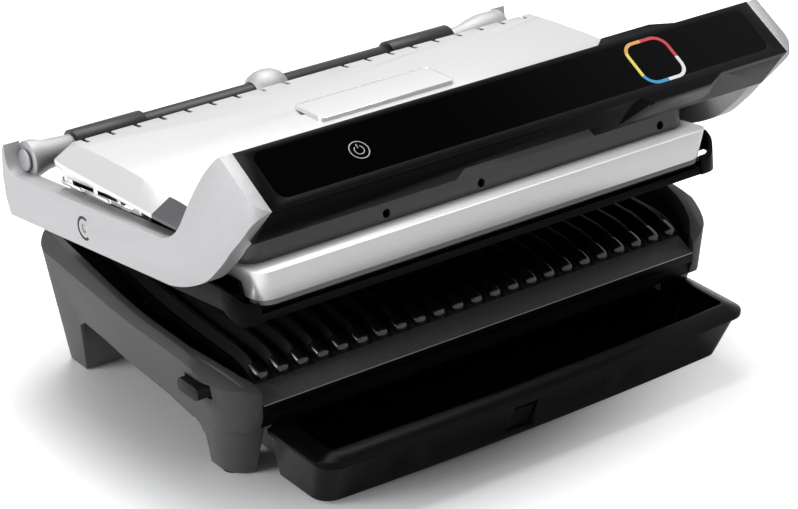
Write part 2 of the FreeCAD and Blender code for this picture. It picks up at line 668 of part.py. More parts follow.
rod_end = size("arm_inner") - 1.0
rod = part("Cylinder", "HingeRod", lid_placement().multiply(along_x(-rod_end)), Radius="Dimensions.hinge_rod_radius",
           Height="2 * (Dimensions.arm_inner - 1)")
keep("hinge_rod", rod)
cover_start = size("sleeve_end") + size("sleeve_shift")
tube = part("Cylinder", "RodCoverTube", along_x(cover_start), Radius="Dimensions.rod_cover_radius",
            Height="Dimensions.sleeve_start - Dimensions.sleeve_end - Dimensions.sleeve_shift")
tube_bore = part("Cylinder", "RodCoverBore", along_x(cover_start - 1), Radius="Dimensions.hinge_rod_radius",
                 Height="Dimensions.sleeve_start - Dimensions.sleeve_end - Dimensions.sleeve_shift + 2")
keep("rod_cover", cut("RodCover", tube, tube_bore), lid_placement())


def turned(profile, bore):
    """A ring about the hinge line from a few width and radius pairs, with flats fine enough to look round."""
    sides = 40
    turns = [2 * math.pi * k / sides for k in range(sides + 1)]
    rings = [Part.makePolygon([V(x, r * math.cos(a), r * math.sin(a)) for a in turns]) for x, r in profile]
    first, last = profile[0][0], profile[-1][0]
    return Part.makeLoft(rings, True, True).cut(bar(V(first - 1, 0, 0), V(last + 1, 0, 0), bore))


dome_x, dome_r = size("dome_x"), size("dome_radius")
dome = turned([(dome_x - 15.0, 12.2), (dome_x - 12.0, 15.6), (dome_x - 6.5, 18.0), (dome_x, dome_r),
               (dome_x + 6.5, 18.0), (dome_x + 12.0, 15.6), (dome_x + 15.0, 12.2)], size("rod_cover_radius"))
keep("rod_dome", solid("RodDome", dome), lid_placement())
collar = turned([(size("sleeve_end"), 8.6), (188.0, 10.0), (197.0, 12.7), (208.0, size("cone_large")),
                 (size("arm_inner"), size("cone_large"))], size("hinge_rod_radius"))
keep("hinge_cone_right", solid("HingeConeRight", collar), lid_placement())
collar = turned([(-size("arm_inner"), size("cone_large")), (-222.0, size("cone_large")), (-212.0, 11.6),
                 (size("sleeve_start") + size("sleeve_shift"), 10.4)], size("hinge_rod_radius"))
keep("hinge_cone_left", solid("HingeConeLeft", collar), lid_placement())


# Handle bar with its gloss panel, the light ring and two buttons.
def panel_frame():
    """The frame of the handle panel within the lid's frame."""
    return FreeCAD.Placement(V(0, size("panel_rear_depth"), size("panel_rear_height")),
                             FreeCAD.Rotation(V(1, 0, 0), size("panel_angle")))


def panel_plate(x0, x1, s0, s1, corner, d0, d1):
    """A rounded plate parallel to the panel, in the lid's frame."""
    middle, half = (x0 + x1) / 2.0, (x1 - x0) / 2.0
    plate = plan_block(half, s0, s1, corner, d0, d1, corner)
    plate.translate(V(middle, 0, 0))
    plate.Placement = panel_frame().multiply(plate.Placement)
    return plate


def panel_disc(x, s, radius, d0, d1):
    """A round piece square to the panel, in the lid's frame."""
    disc = Part.makeCylinder(radius, d1 - d0, V(x, s, d0))
    disc.Placement = panel_frame().multiply(disc.Placement)
    return disc


def ring_plate(half, corner, d0, d1):
    """A rounded square round the middle of the mode button."""
    x, s = size("mode_x"), size("button_row")
    return panel_plate(x - half, x + half, s - half, s + half, corner, d0, d1)


def inner_room(x0, x1):
    """The hollow of the handle between two widths."""
    return prism_yz([panel_point(s, d) for s, d in
                     ((3.0, 5.0), (48.8, 5.0), (45.0, 37.0), (39.0, 37.6), (8.5, 25.0), (0.5, 11.5))], x0, x1)


def handle_body():
    """The handle bar: a hollow profile with a finger scoop in the middle and seats for the panel pieces."""
    half = size("handle_half_width")
    bar_solid = handle_section(-half, half)
    across = prism_yz([panel_point(s, d) for s, d in BUMP_SECTION], 84.0, 174.0)
    outline = polygon([V(x, s, 0) for x, s in BUMP_OUTLINE]).extrude(V(0, 0, 60.0))
    outline.Placement = panel_frame()
    bar_solid = bar_solid.fuse(across.common(outline))
    scoop_side = [panel_point(s, d) for s, d in ((60.0, 26.8), (60.0, 60.0), (-20.0, 60.0), (0.0, 27.5))]
    scoop = prism_yz(scoop_side, -60.0, 66.0)
    bar_solid = bar_solid.cut(scoop)
    bar_solid = bar_solid.cut([inner_room(-222.0, -80.0), inner_room(84.0, 222.0)])
    middle_room = prism_yz([panel_point(s, d) for s, d in ((5.0, 5.0), (47.0, 5.0), (45.5, 18.0), (8.0, 18.0))],
                           -80.0, 84.0)
    bar_solid = bar_solid.cut(middle_room)
    posts = [panel_disc(x, s, 3.0, 4.0, 14.0) for x in (-194.0, -96.0, 98.0, 192.0) for s in (14.0, 38.0)]
    bar_solid = bar_solid.fuse(posts)
    for x0, x1 in ((-222.0, -80.0), (84.0, 222.0)):
        bar_solid = bar_solid.cut(cover_prism(x0, x1))
    seat = panel_plate(-size("inlay_half_width"), size("inlay_half_width"), size("inlay_rear"), size("inlay_front"),
                       size("inlay_corner"), -1.0, size("inlay_sheet"))
    well = ring_plate(size("ring_inner"), 9.3, 0.0, 12.0)
    ring_seat = ring_plate(size("ring_half"), size("ring_corner"), -1.0, size("inlay_sheet"))
    hole = panel_disc(size("power_x"), size("button_row"), size("power_radius") + size("button_gap"), 0.0, 12.0)
    return bar_solid.cut([seat, ring_seat, well, hole])


def cover_prism(x0, x1):
    """The opening at the back of the handle that a cover closes."""
    return prism_yz([panel_point(s, d) for s, d in ((34.0, 39.82), (10.0, 29.69), (11.2, 26.2), (35.2, 35.9))], x0, x1)


keep("handle_body", solid("HandleBody", handle_body()), lid_placement())
inlay = panel_plate(-size("inlay_half_width"), size("inlay_half_width"), size("inlay_rear"), size("inlay_front"),
                    size("inlay_corner"), 0.0, size("inlay_sheet"))
ring_hole = ring_plate(size("ring_half"), size("ring_corner"), -1.0, 3.0)
power_hole = panel_disc(size("power_x"), size("button_row"), size("power_radius") + size("button_gap"), -1.0, 3.0)
keep("handle_inlay", solid("HandleInlay", inlay.cut([ring_hole, power_hole])), lid_placement())
ring = ring_plate(size("ring_half"), size("ring_corner"), 0.0, size("inlay_sheet")).cut(
    ring_plate(size("ring_inner"), 9.3, -1.0, 3.0))
keep("light_ring", solid("LightRing", ring), lid_placement())
mode_half = size("ring_inner") - size("button_gap")
mode = ring_plate(mode_half, 9.0, 0.2, 3.2).fuse([panel_disc(size("mode_x"), size("button_row"), 3.0, 3.0, 9.9)])
keep("mode_button", solid("ModeButton", mode), lid_placement())
power = panel_disc(size("power_x"), size("button_row"), size("power_radius"), 0.2, 3.2).fuse(
    [panel_disc(size("power_x"), size("button_row"), 2.5, 3.0, 9.9)])
keep("power_button", solid("PowerButton", power), lid_placement())
keep("handle_cover_right", solid("HandleCoverRight", cover_prism(84.0, 222.0)), lid_placement())
keep("handle_cover_left", solid("HandleCoverLeft", cover_prism(-222.0, -80.0)), lid_placement())
keep("control_board", solid("ControlBoard", panel_plate(90.0, 200.0, 9.0, 43.0, 1.0, 14.0, 15.6).fuse(
    [panel_plate(size("mode_x") - 5, size("mode_x") + 5, size("button_row") - 5, size("button_row") + 5, 0.5,
                 11.0, 14.0)])), lid_placement())
keep("power_switch_board", solid("PowerSwitchBoard", panel_plate(-200.0, -90.0, 9.0, 43.0, 1.0, 14.0, 15.6).fuse(
    [panel_plate(size("power_x") - 5, size("power_x") + 5, size("button_row") - 5, size("button_row") + 5, 0.5,
                 11.0, 14.0)])), lid_placement())

pin = []
for index, side in enumerate((1, -1)):
    start = V(side * 241.0, size("pin_depth"), size("pin_height"))
    mid = V(side * 236.0, size("pin_depth"), size("pin_height"))
    end = V(side * 214.0, size("pin_depth"), size("pin_height"))
    pin_shape = bar(start, mid, 3.6).fuse([bar(mid, end, size("pin_radius"))])
    pin_shape = pin_shape.cut(box(side * 241.0 - 1.2, side * 241.0 + 1.2, size("pin_depth") - 0.5,
                                  size("pin_depth") + 0.5, size("pin_height") - 4, size("pin_height") + 4))
    keep(("pivot_pin_right", "pivot_pin_left")[index], solid(f"PivotPin{index}", pin_shape), lid_placement())

# Upper unit: steel cover, dark front, steel band, grey flange, and the upper cooking plate.
EDGE_TOP = [(-54.9, 22.3), (-80.9, 21.5), (-108.9, 19.7), (-136.6, 17.4), (-163.0, 14.0), (-188.5, 9.9)]
CENTRE_TOP = [(-54.9, 22.9), (-80.9, 23.3), (-108.9, 22.8), (-136.6, 21.2), (-163.0, 18.0), (-188.5, 13.0)]
EDGE_FRONT = [(-188.5, 9.9), (-199.0, 8.9), (-210.8, 7.5), (-224.0, 4.9), (-238.0, 1.0), (-252.0, -4.6)]
CENTRE_FRONT = [(-188.5, 13.0), (-199.0, 11.2), (-210.8, 8.8), (-224.0, 5.6), (-238.0, 1.3), (-252.0, -4.4)]
BRIM = [(-54.9, 13.4), (-80.9, 10.0), (-108.9, 8.0), (-136.6, 5.6), (-163.0, 3.4), (-188.5, 0.9)]


def upper_cover():
    """The brushed steel cover: a shallow crown with a folded brim on each side and rows of slots at the rear."""
    sheet_thickness = size("cover_sheet")
    edge, brim, middle = size("cover_half_width"), size("cover_brim"), size("cover_flat_half")
    stations = [(-brim, BRIM), (-edge, EDGE_TOP), (-middle, CENTRE_TOP), (middle, CENTRE_TOP), (edge, EDGE_TOP),
                (brim, BRIM)]
    skin = Part.makeLoft([section_wire(top, lowered(top, sheet_thickness), x) for x, top in stations], True, True)
    front = Part.makeLoft([section_wire(top, lowered(top, sheet_thickness), x) for x, top in
                           ((-edge, EDGE_FRONT), (-middle, CENTRE_FRONT), (middle, CENTRE_FRONT),
                            (edge, EDGE_FRONT))], True, True)
    corner = 26.0
    hem_low = [(y, z - 5.0 + 2.2 * k / 5.0) for k, (y, z) in enumerate(BRIM)]
    hem = Part.Face(section_wire(BRIM, hem_low, brim - 1.0)).extrude(V(1.0, 0, 0))
    skin = skin.fuse([hem, mirrored(hem)])
    skin = skin.fuse(front.common(plan_block(edge, -262.0, -180.0, corner, -20.0, 40.0)))
    slots = []
    for k in range(int(size("slot_count"))):
        x = size("slot_start") + k * size("slot_pitch")
        for centre in (-x, x):
            slots.append(box(centre - 1.9, centre + 1.9, -64.0, -50.0, 10.0, 40.0))
    return skin.cut(Part.makeCompound(slots))


keep("upper_cover", solid("UpperCover", upper_cover()), lid_placement())


def badge():
    """The raised plate in the middle of the cover, left bare."""
    thickness = 2.4
    lifted = [(y, z + thickness) for y, z in CENTRE_TOP]
    block = Part.Face(section_wire(lifted, CENTRE_TOP, -66.0)).extrude(V(132.0, 0, 0))
    return block.common(plan_block(63.0, -156.5, -118.5, 5.0, 0.0, 40.0, 5.0))


keep("cover_plate", solid("CoverPlate", badge()), lid_placement())


def upper_frame():
    """The dark housing under the cover: front wall, side walls, rear wall and the wings beside the steel top."""
    half, front, rear, wall = size("frame_half_width"), size("frame_front"), size("unit_rear"), 2.4
    profile = [(rear, 20.9), (-80.9, 19.9), (-108.9, 18.1), (-136.6, 15.8), (-163.0, 12.4), (-188.7, 8.3),
               (-210.8, 6.2), (-238.0, -0.5), (-252.3, -6.2), (-252.3, -4.8), (-258.0, -9.0), (front, -14.0),
               (front, -52.0), (-257.4, -52.0), (-254.6, -46.8), (rear, -39.8)]
    outer = slab_yz(profile, 215.0).common(plan_block(half, front, rear, 14.0, -80.0, 60.0))
    inner_profile = [(rear - wall, 40.0), (-186.0, 40.0), (-186.0, 6.0), (-210.3, 3.7), (-237.0, -3.0),
                     (-250.6, -8.6), (-255.6, -12.0), (front + wall, -16.0), (front + wall, -60.0),
                     (rear - wall, -60.0)]
    inner = slab_yz(inner_profile, 215.0).common(plan_block(half - wall, front + wall, rear - wall, 11.6, -90.0, 60.0))
    shell = outer.cut(inner)
    closing = size("rail_inner") - 0.1
    lift, edge, under = 20.7, size("cover_half_width"), 17.2
    rear_wall = polygon([V(x, rear, z) for x, z in ((-closing, -38.3), (closing, -38.3), (closing, under),
                                                    (edge, lift), (-edge, lift), (-closing, under))])
    rear_wall = rear_wall.extrude(V(0, -wall, 0))
    wing_top = [(-188.7, 9.6), (-199.0, 9.0), (-210.8, 7.4), (-223.4, 4.6)]
    wing_low = [(-188.7, 0.8), (-199.0, 0.1), (-210.8, -0.6), (-223.4, -1.2)]
    facet = Part.makeLoft([section_wire(wing_top, lowered(wing_top, wall + 1.2), edge + 0.05),
                           section_wire(wing_low, lowered(wing_low, wall), size("cover_brim"))], True, True)
    step = 1.5
    bracket = Part.Face(section_wire(lowered(wing_top, step), lowered(wing_top, wall + 1.2), half - 3.0))
    bracket = bracket.extrude(V(edge + 0.05 - half + 3.0, 0, 0))
    wing = facet.fuse(bracket)
    holes = [bar(V(x, front - 5, -23.0), V(x, front + 6, -23.0), 3.4) for x in (-84.0, 2.0, 176.0)]
    return shell.fuse([rear_wall, wing, mirrored(wing)]).cut(Part.makeCompound(holes))


keep("upper_frame", solid("UpperFrame", upper_frame()), lid_placement())


def band_form(inset, low, high):
    """The form of the steel band at an inset: it leans in slightly towards its lower edge."""
    bottom = plan_wire(205.2 - inset, -275.5 + inset, -200.0, 12.0 - inset, low)
    top = plan_wire(208.8 - inset, -280.7 + inset, -200.0, 12.0 - inset, high)
    return Part.makeLoft([bottom, top], True, True)


def upper_band():
    """The bright band below the bezel, with a ledge on top that runs up to the frame."""
    low, high = size("band_bottom"), size("band_top")
    outer = band_form(0.0, low, high)
    inner = band_form(1.0, low, high).common(box(-300, 300, -300, -100, low - 1, high - 1.0))
    frame = plan_block(size("frame_half_width"), size("frame_front"), -100.0, 14.0, -80.0, 60.0)
    return outer.cut([inner, frame])


keep("upper_band", solid("UpperBand", upper_band()), lid_placement())


def upper_flange():
    """The grey flange between the band and the cooking plate."""
    top = size("band_bottom")
    ring = plan_block(203.4, -274.8, -257.5, 11.0, top - 3.8, top)
    opening = plan_block(196.0, -263.0, -190.0, 8.0, top - 10, top + 10)
    return ring.cut(opening)


keep("upper_flange", solid("UpperFlange", upper_flange()), lid_placement())


def upper_plate():
    """The upper cooking plate: a slab with hanging ribs, a front apron and side rims that sweep down at the corner."""
    rim, rear = size("rim_half_width"), size("unit_rear")
    slab = slab_yz([(-271.6, -61.5), (-271.6, -67.4), (-269.8, -67.4), (-267.0, -64.0), (-256.0, -59.5),
                    (-250.0, -52.0), (-157.0, -52.5), (rear, -45.5), (rear, -40.0), (-254.0, -47.0),
                    (-256.5, -56.0), (-264.0, -56.6), (-266.0, -61.5)], 208.0)
    side = prism_yz([(-273.2, -57.0), (-273.2, -67.4), (-269.8, -67.4), (-258.0, -55.6), (-183.0, -54.8),
                     (-117.0, -54.2), (rear, -46.0), (rear, -38.5), (-243.0, -38.7), (-256.0, -40.0),
                     (-264.0, -44.5), (-270.0, -52.0)], 204.4, rim)
    plan = plan_block(rim, -273.2, rear, 17.0, -80.0, -20.0)
    whole = slab.fuse([side, mirrored(side)]).common(plan)
    lip, corner = 2.8, 14.2
    groove = box(209.0, rim - lip, -256.0, rear - 2.5, -49.0, -20.0)
    bend = plan_block(rim - lip, lip - 273.2, -255.0, corner, -57.5, -20.0).common(
        box(204.4, rim, -271.0, -255.0, -58.0, -20.0))
    whole = whole.cut([groove, mirrored(groove), bend, mirrored(bend)])
    comb = []
    pitch, count = size("rib_pitch"), int(size("rib_count"))
    crest, foot = size("rib_crest_half"), size("rib_foot_half")
    for rib in range(count):
        x = (rib - (count - 1) / 2.0) * pitch
        trapezoid = polygon([V(x - foot, -262, -50.0), V(x + foot, -262, -50.0), V(x + crest, -262, -60.0),
                             V(x - crest, -262, -60.0)])
        comb.append(trapezoid.extrude(V(0, 204, 0)))
    ribs = slab_yz([(-253.0, -52.0), (-246.0, -55.0), (-233.0, -56.2), (-157.0, -58.5), (-102.0, -55.2),
                    (-60.0, -50.4), (-60.0, -43.0), (-157.0, -48.0), (-253.0, -49.0)], 205.0)
    ribs = Part.makeCompound(comb).common(ribs)
    whole = whole.fuse(ribs.Solids)
    band_seat = band_form(-0.3, size("band_bottom") - 0.3, size("band_top")).cut(
        band_form(1.6, size("band_bottom") - 1.0, size("band_top")))
    whole = whole.cut(band_seat)
    return max(whole.Solids, key=lambda s: s.Volume)


keep("upper_plate", solid("UpperPlate", upper_plate()), lid_placement())
keep("upper_reflector", solid("UpperReflector", box(-201.6, 201.6, -245.0, -60.0, -28.0, -27.2)), lid_placement())
keep("upper_element", solid("UpperElement", element(-236.0, -92.0, -34.5, 140.0, 3.2)), lid_placement())
keep("upper_clips", solid("UpperClips", Part.makeCompound(
    [box(x - 4, x + 4, y - 4, y + 4, -31.3, -28.0) for x in (-80.0, 80.0) for y in (-188.0, -140.0)])), lid_placement())
keep("upper_sensor", solid("UpperSensor", bar(V(0, -160, -43.3), V(0, -160, -28.0), 8.0)), lid_placement())


def side_rail():
    """A bright strip under the brim: it stands on the rim, steps out over the arm and has four windows."""
    inner, outer = size("rail_inner"), size("rail_outer")
    shelf_low, shelf_top, over = -5.6, -4.2, 231.4
    rail = prism_yz([(-58.0, -38.5), (-58.0, shelf_top), (-170.0, shelf_top), (-170.0, -38.6)], inner, outer)
    shelf = box(inner, over, -170.0, -58.0, shelf_low, shelf_top)
    upper = prism_yz([(-58.0, shelf_low), (-58.0, 12.8), (-80.9, 10.0), (-108.9, 8.0), (-136.6, 5.6), (-163.0, 3.4),
                      (-170.0, 2.8), (-170.0, shelf_low)], over - 1.4, over)
    for y0, y1 in ((-66.0, -60.0), (-104.0, -74.0), (-137.0, -110.0), (-161.0, -142.0)):
        upper = upper.cut(box(over - 4.0, over + 1.0, y0, y1, -2.6, 0.6))
    return rail.fuse([shelf, upper])


rail_shape = side_rail()
pin_hole = bar(V(200.0, size("pin_depth"), size("pin_height")), V(240.0, size("pin_depth"), size("pin_height")),
               size("pin_radius") + size("running_gap"))
keep("side_rail_right", solid("SideRailRight", rail_shape.cut(pin_hole)), lid_placement())
keep("side_rail_left", solid("SideRailLeft", mirrored(rail_shape.cut(pin_hole))), lid_placement())
bush = bar(V(214.0, size("pin_depth"), size("pin_height")), V(size("rail_inner"), size("pin_depth"),
           size("pin_height")), size("bush_radius")).cut(pin_hole)
keep("pivot_bush_right", solid("PivotBushRight", bush), lid_placement())
keep("pivot_bush_left", solid("PivotBushLeft", mirrored(bush)), lid_placement())

doc.recompute()
os.makedirs("parts", exist_ok=True)
for made in doc.Objects:
    if "Invalid" in made.State or "Error" in made.State:
        raise RuntimeError(f"{made.Label} did not build")
for node in NODES:
    if node.Shape.isNull() or not node.Shape.isValid():
        raise RuntimeError(f"{node.Label} has no valid shape")
for node in NODES:
    shape = node.Shape
    shape.exportStep(f"parts/{node.Label}.step")
    bounds = shape.BoundBox
    print(node.Label, len(shape.Solids), round(shape.Volume / 1000.0, 1),
          [round(v, 1) for v in (bounds.XMin, bounds.XMax, bounds.YMin, bounds.YMax, bounds.ZMin, bounds.ZMax)])
print(len(NODES), "nodes")
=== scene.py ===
# %% [markdown]
# # A contact grill with its lid half raised
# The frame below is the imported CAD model. Every piece made here sits in the same place, in metres.
# %% Load the frame
import json
import math

import bpy
from mathutils import Matrix, Vector


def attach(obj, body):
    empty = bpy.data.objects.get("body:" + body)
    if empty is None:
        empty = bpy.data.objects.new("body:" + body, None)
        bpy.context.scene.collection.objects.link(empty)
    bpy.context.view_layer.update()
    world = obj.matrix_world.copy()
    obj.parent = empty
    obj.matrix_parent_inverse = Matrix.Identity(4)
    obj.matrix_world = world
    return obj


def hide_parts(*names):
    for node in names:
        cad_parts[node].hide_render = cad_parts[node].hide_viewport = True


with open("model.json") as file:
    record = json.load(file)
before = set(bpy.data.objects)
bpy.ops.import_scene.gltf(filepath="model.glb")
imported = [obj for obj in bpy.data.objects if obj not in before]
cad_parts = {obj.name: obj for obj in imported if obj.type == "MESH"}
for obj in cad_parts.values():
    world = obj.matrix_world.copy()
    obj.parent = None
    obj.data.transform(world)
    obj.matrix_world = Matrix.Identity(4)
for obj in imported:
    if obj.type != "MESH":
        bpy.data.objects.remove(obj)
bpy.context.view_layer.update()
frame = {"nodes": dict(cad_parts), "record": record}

# %% [markdown]
# ## Camera
# The photograph looks down on the grill from the front left with a long lens, so the upright edges
# stay nearly parallel. The camera stands at that angle and distance, and looks at the grill's middle.
# %% Camera
PHOTO_WIDTH = 798.0
FOCAL_PIXELS = 2700.0
SENSOR_WIDTH = 36.0
CAMERA_AZIMUTH = math.radians(-36.87)
CAMERA_ELEVATION = math.radians(26.36)
CAMERA_DISTANCE = 2.0675
CAMERA_TARGET = Vector((-0.0056, -0.0031, 0.0836))

offset = Vector((math.sin(CAMERA_AZIMUTH) * math.cos(CAMERA_ELEVATION),
                 -math.cos(CAMERA_AZIMUTH) * math.cos(CAMERA_ELEVATION),
                 math.sin(CAMERA_ELEVATION))) * CAMERA_DISTANCE
camera_data = bpy.data.cameras.new("photo_camera")
camera_data.lens = SENSOR_WIDTH * FOCAL_PIXELS / PHOTO_WIDTH
camera_data.sensor_width = SENSOR_WIDTH
camera = bpy.data.objects.new("photo_camera", camera_data)
bpy.context.scene.collection.objects.link(camera)
camera.location = CAMERA_TARGET + offset
camera.rotation_euler = (-offset).to_track_quat("-Z", "Y").to_euler()
bpy.context.scene.camera = camera
bpy.context.scene.view_settings.view_transform = "Standard"
print("camera at", [round(v, 4) for v in camera.location])

# %% [markdown]
# ## Floor, backdrop and light
# A pale floor that keeps the grill's shadow and, in its glow, a painted shadow round the grill and a painted
# reflection, and a world that is white to the camera and in reflections, while three large soft lamps light
# the grill itself.
# %% Floor
FLOOR_SIZE = 12.0
FLOOR_GREY = 0.93
FLOOR_ROUGHNESS = 0.9
bpy.ops.object.select_all(action="DESELECT")
bpy.ops.mesh.primitive_plane_add(size=FLOOR_SIZE, location=(0, 0, 0))
floor = bpy.context.object
floor.name = "studio_floor"
floor_paint = bpy.data.materials.new("studio_floor")
floor_paint.use_nodes = True
floor_shader = floor_paint.node_tree.nodes["Principled BSDF"]
floor_shader.inputs["Base Color"].default_value = (FLOOR_GREY, FLOOR_GREY, FLOOR_GREY, 1)
floor_shader.inputs["Roughness"].default_value = FLOOR_ROUGHNESS
floor.data.materials.append(floor_paint)
print("floor", FLOOR_SIZE, "m wide")

# %% [markdown]
# Some finishes need sums of several values or a soft change from one value to another. Two short helpers
# make those nodes.
# %% Node helpers
def node_math(tree, operation, first, second):
    """A math node; each input is a socket or a number."""
    made = tree.nodes.new("ShaderNodeMath")
    made.operation = operation
    for slot, value in enumerate((first, second)):
        if isinstance(value, (int, float)):
            made.inputs[slot].default_value = value
        else:
            tree.links.new(value, made.inputs[slot])
    return made.outputs[0]


def smooth_step(tree, value, start, end):
    """A smooth change from 0 at the start to 1 at the end."""
    made = tree.nodes.new("ShaderNodeMapRange")
    made.interpolation_type = "SMOOTHSTEP"
    made.inputs["From Min"].default_value = start
    made.inputs["From Max"].default_value = end
    tree.links.new(value, made.inputs["Value"])
    return made.outputs[0]


# %% [markdown]
# The camera sees a white floor that keeps the grill's shadow. The glow starts a short way from the grill's
# middle and grows outwards, so a painted shadow darkens the floor round the grill besides the real one. In
# reflections the floor glows at the grill's left and behind it and is grey in front, a painted reflection
# that gives metal a gradient.
# %% Floor glow
CAMERA_GLOW = 0.6
PAINTED_SHADOW_CENTRE = (-0.06, 0.02, 0.0)
PAINTED_SHADOW_REACH = (0.16, 0.32)
MIRRORED_GLOW = 0.45
DIM_REFLECTION_SIDE = (-0.40, -0.26)
DIM_REFLECTION_REAR = (-0.02, -0.16)
floor_tree = floor_paint.node_tree
floor_ray = floor_tree.nodes.new("ShaderNodeLightPath")
floor_place = floor_tree.nodes.new("ShaderNodeTexCoord")
floor_axes = floor_tree.nodes.new("ShaderNodeSeparateXYZ")
floor_tree.links.new(floor_place.outputs["Object"], floor_axes.inputs[0])
# painted reflection: in mirrors the floor glows at the grill's left and rear and stays grey in front
beside = smooth_step(floor_tree, floor_axes.outputs["X"], *DIM_REFLECTION_SIDE)
ahead = smooth_step(floor_tree, floor_axes.outputs["Y"], *DIM_REFLECTION_REAR)
dim_reflection_area = node_math(floor_tree, "MULTIPLY", beside, ahead)
bright_reflection_area = node_math(floor_tree, "SUBTRACT", 1.0, dim_reflection_area)
painted_reflection_glow = node_math(floor_tree, "MULTIPLY", bright_reflection_area, MIRRORED_GLOW)
mirrored_ray = node_math(floor_tree, "MAXIMUM", floor_ray.outputs["Is Glossy Ray"],
                         floor_ray.outputs["Is Transmission Ray"])
mirrored_glow = node_math(floor_tree, "MULTIPLY", mirrored_ray, painted_reflection_glow)
# painted shadow: the glow is left out near the grill's middle, so the floor there stays darker
from_centre = floor_tree.nodes.new("ShaderNodeVectorMath")
from_centre.operation = "DISTANCE"
from_centre.inputs[1].default_value = PAINTED_SHADOW_CENTRE
floor_tree.links.new(floor_place.outputs["Object"], from_centre.inputs[0])
outside_painted_shadow = smooth_step(floor_tree, from_centre.outputs["Value"], *PAINTED_SHADOW_REACH)
seen_glow = node_math(floor_tree, "MULTIPLY", outside_painted_shadow, CAMERA_GLOW)
camera_glow = node_math(floor_tree, "MULTIPLY", floor_ray.outputs["Is Camera Ray"], seen_glow)
floor_glow = floor_tree.nodes.new("ShaderNodeEmission")
floor_tree.links.new(node_math(floor_tree, "ADD", mirrored_glow, camera_glow), floor_glow.inputs["Strength"])
floor_sum = floor_tree.nodes.new("ShaderNodeAddShader")
floor_tree.links.new(floor_shader.outputs[0], floor_sum.inputs[0])
floor_tree.links.new(floor_glow.outputs[0], floor_sum.inputs[1])
floor_tree.links.new(floor_sum.outputs[0], floor_tree.nodes["Material Output"].inputs["Surface"])
print("floor glow to the camera", CAMERA_GLOW)

# %% [markdown]
# The world is white wherever the camera or a mirror sees it, and much weaker as a light, so that it is mostly
# the lamps that shape the surfaces.
# %% World
LIT_COLOUR = (0.95, 0.97, 1.0, 1)
LIT_STRENGTH = 0.2
world = bpy.data.worlds.new("studio_world")
bpy.context.scene.world = world
world.use_nodes = True
tree = world.node_tree
tree.nodes.clear()
seen = tree.nodes.new("ShaderNodeLightPath")
white = tree.nodes.new("ShaderNodeBackground")
white.inputs["Strength"].default_value = 1.0
lit = tree.nodes.new("ShaderNodeBackground")
lit.inputs["Color"].default_value = LIT_COLOUR
lit.inputs["Strength"].default_value = LIT_STRENGTH
seen_or_mirrored = node_math(tree, "MAXIMUM", seen.outputs["Is Camera Ray"], seen.outputs["Is Glossy Ray"])
shown_white = node_math(tree, "MAXIMUM", seen_or_mirrored, seen.outputs["Is Transmission Ray"])
blend_world = tree.nodes.new("ShaderNodeMixShader")
out = tree.nodes.new("ShaderNodeOutputWorld")
tree.links.new(shown_white, blend_world.inputs["Fac"])
tree.links.new(lit.outputs[0], blend_world.inputs[1])
tree.links.new(white.outputs[0], blend_world.inputs[2])
tree.links.new(blend_world.outputs[0], out.inputs["Surface"])
print("world strength on surfaces", LIT_STRENGTH)

# %% [markdown]
# One lamp stands high behind the grill's right side and throws the shadow forwards and to the left. One
# stands low at the left and lights the arm's broad face. A weak one in front keeps the tray readable.
# %% Lamps
# name, place, aim, width in metres, power in watts
LAMPS = [
    ("lamp_over", (0.45, 0.75, 2.0), (0, 0, 0.1), 1.2, 33),
    ("lamp_left", (-2.0, 0.35, 0.9), (0, 0, 0.12), 1.0, 22),
    ("lamp_front", (0.9, -2.2, 1.0), (0, 0, 0.1), 1.2, 1.2),
]


def soft_lamp(name, place, target, size, power):
    """A large square lamp that faces a point."""
    lamp_data = bpy.data.lights.new(name, "AREA")
    lamp_data.size = size
    lamp_data.energy = power
    lamp = bpy.data.objects.new(name, lamp_data)
    bpy.context.scene.collection.objects.link(lamp)
    lamp.location = place
    lamp.rotation_euler = (Vector(target) - Vector(place)).to_track_quat("-Z", "Y").to_euler()


for row in LAMPS:
    soft_lamp(*row)
print(len(LAMPS), "lamps")

# %% [markdown]
# ## Finishes
# Every surface is one of three kinds: moulded or cast with a fine grain, dark moulded with a painted sheen
# that makes it lighter towards the right, or brushed sheet. Noise in object coordinates gives the grain, so
# it has a real size in metres.
# %% Material helpers
GRAIN_DETAIL = 3.0
DRIFT_SCALE = 14.0
DRIFT_DETAIL = 4.0
GRAIN_DEPTH = 0.001
SCRATCH_DEPTH = 0.0005
SMOOTHEST = 0.02
SCRATCH_LINES = (40.0, 2600.0, 2600.0)
SCRATCH_DETAIL = 2.0
PAINTED_SHEEN_REACH = (-0.10, 0.24)
GRADE_FLECK = 0.12


def new_material(name):
    """A material, its node tree and its shader."""
    paint = bpy.data.materials.new(name)
    paint.use_nodes = True
    return paint, paint.node_tree, paint.node_tree.nodes["Principled BSDF"]


def grain_tone(nodes, shader, noise, colour, spread):
    """Lets a noise carry the base colour a little darker and lighter than the colour given."""
    tone = nodes.nodes.new("ShaderNodeMixRGB")
    tone.inputs["Color1"].default_value = (*[c * (1.0 - spread) for c in colour], 1)
    tone.inputs["Color2"].default_value = (*[min(1.0, c * (1.0 + spread)) for c in colour], 1)
    nodes.links.new(noise.outputs["Fac"], tone.inputs["Fac"])
    nodes.links.new(tone.outputs[0], shader.inputs["Base Color"])


def grain_bump(nodes, shader, noise, strength, depth):
    """Lets a noise raise and lower the surface."""
    bump = nodes.nodes.new("ShaderNodeBump")
    bump.inputs["Strength"].default_value = strength
    bump.inputs["Distance"].default_value = depth
    nodes.links.new(noise.outputs["Fac"], bump.inputs["Height"])
    nodes.links.new(bump.outputs[0], shader.inputs["Normal"])


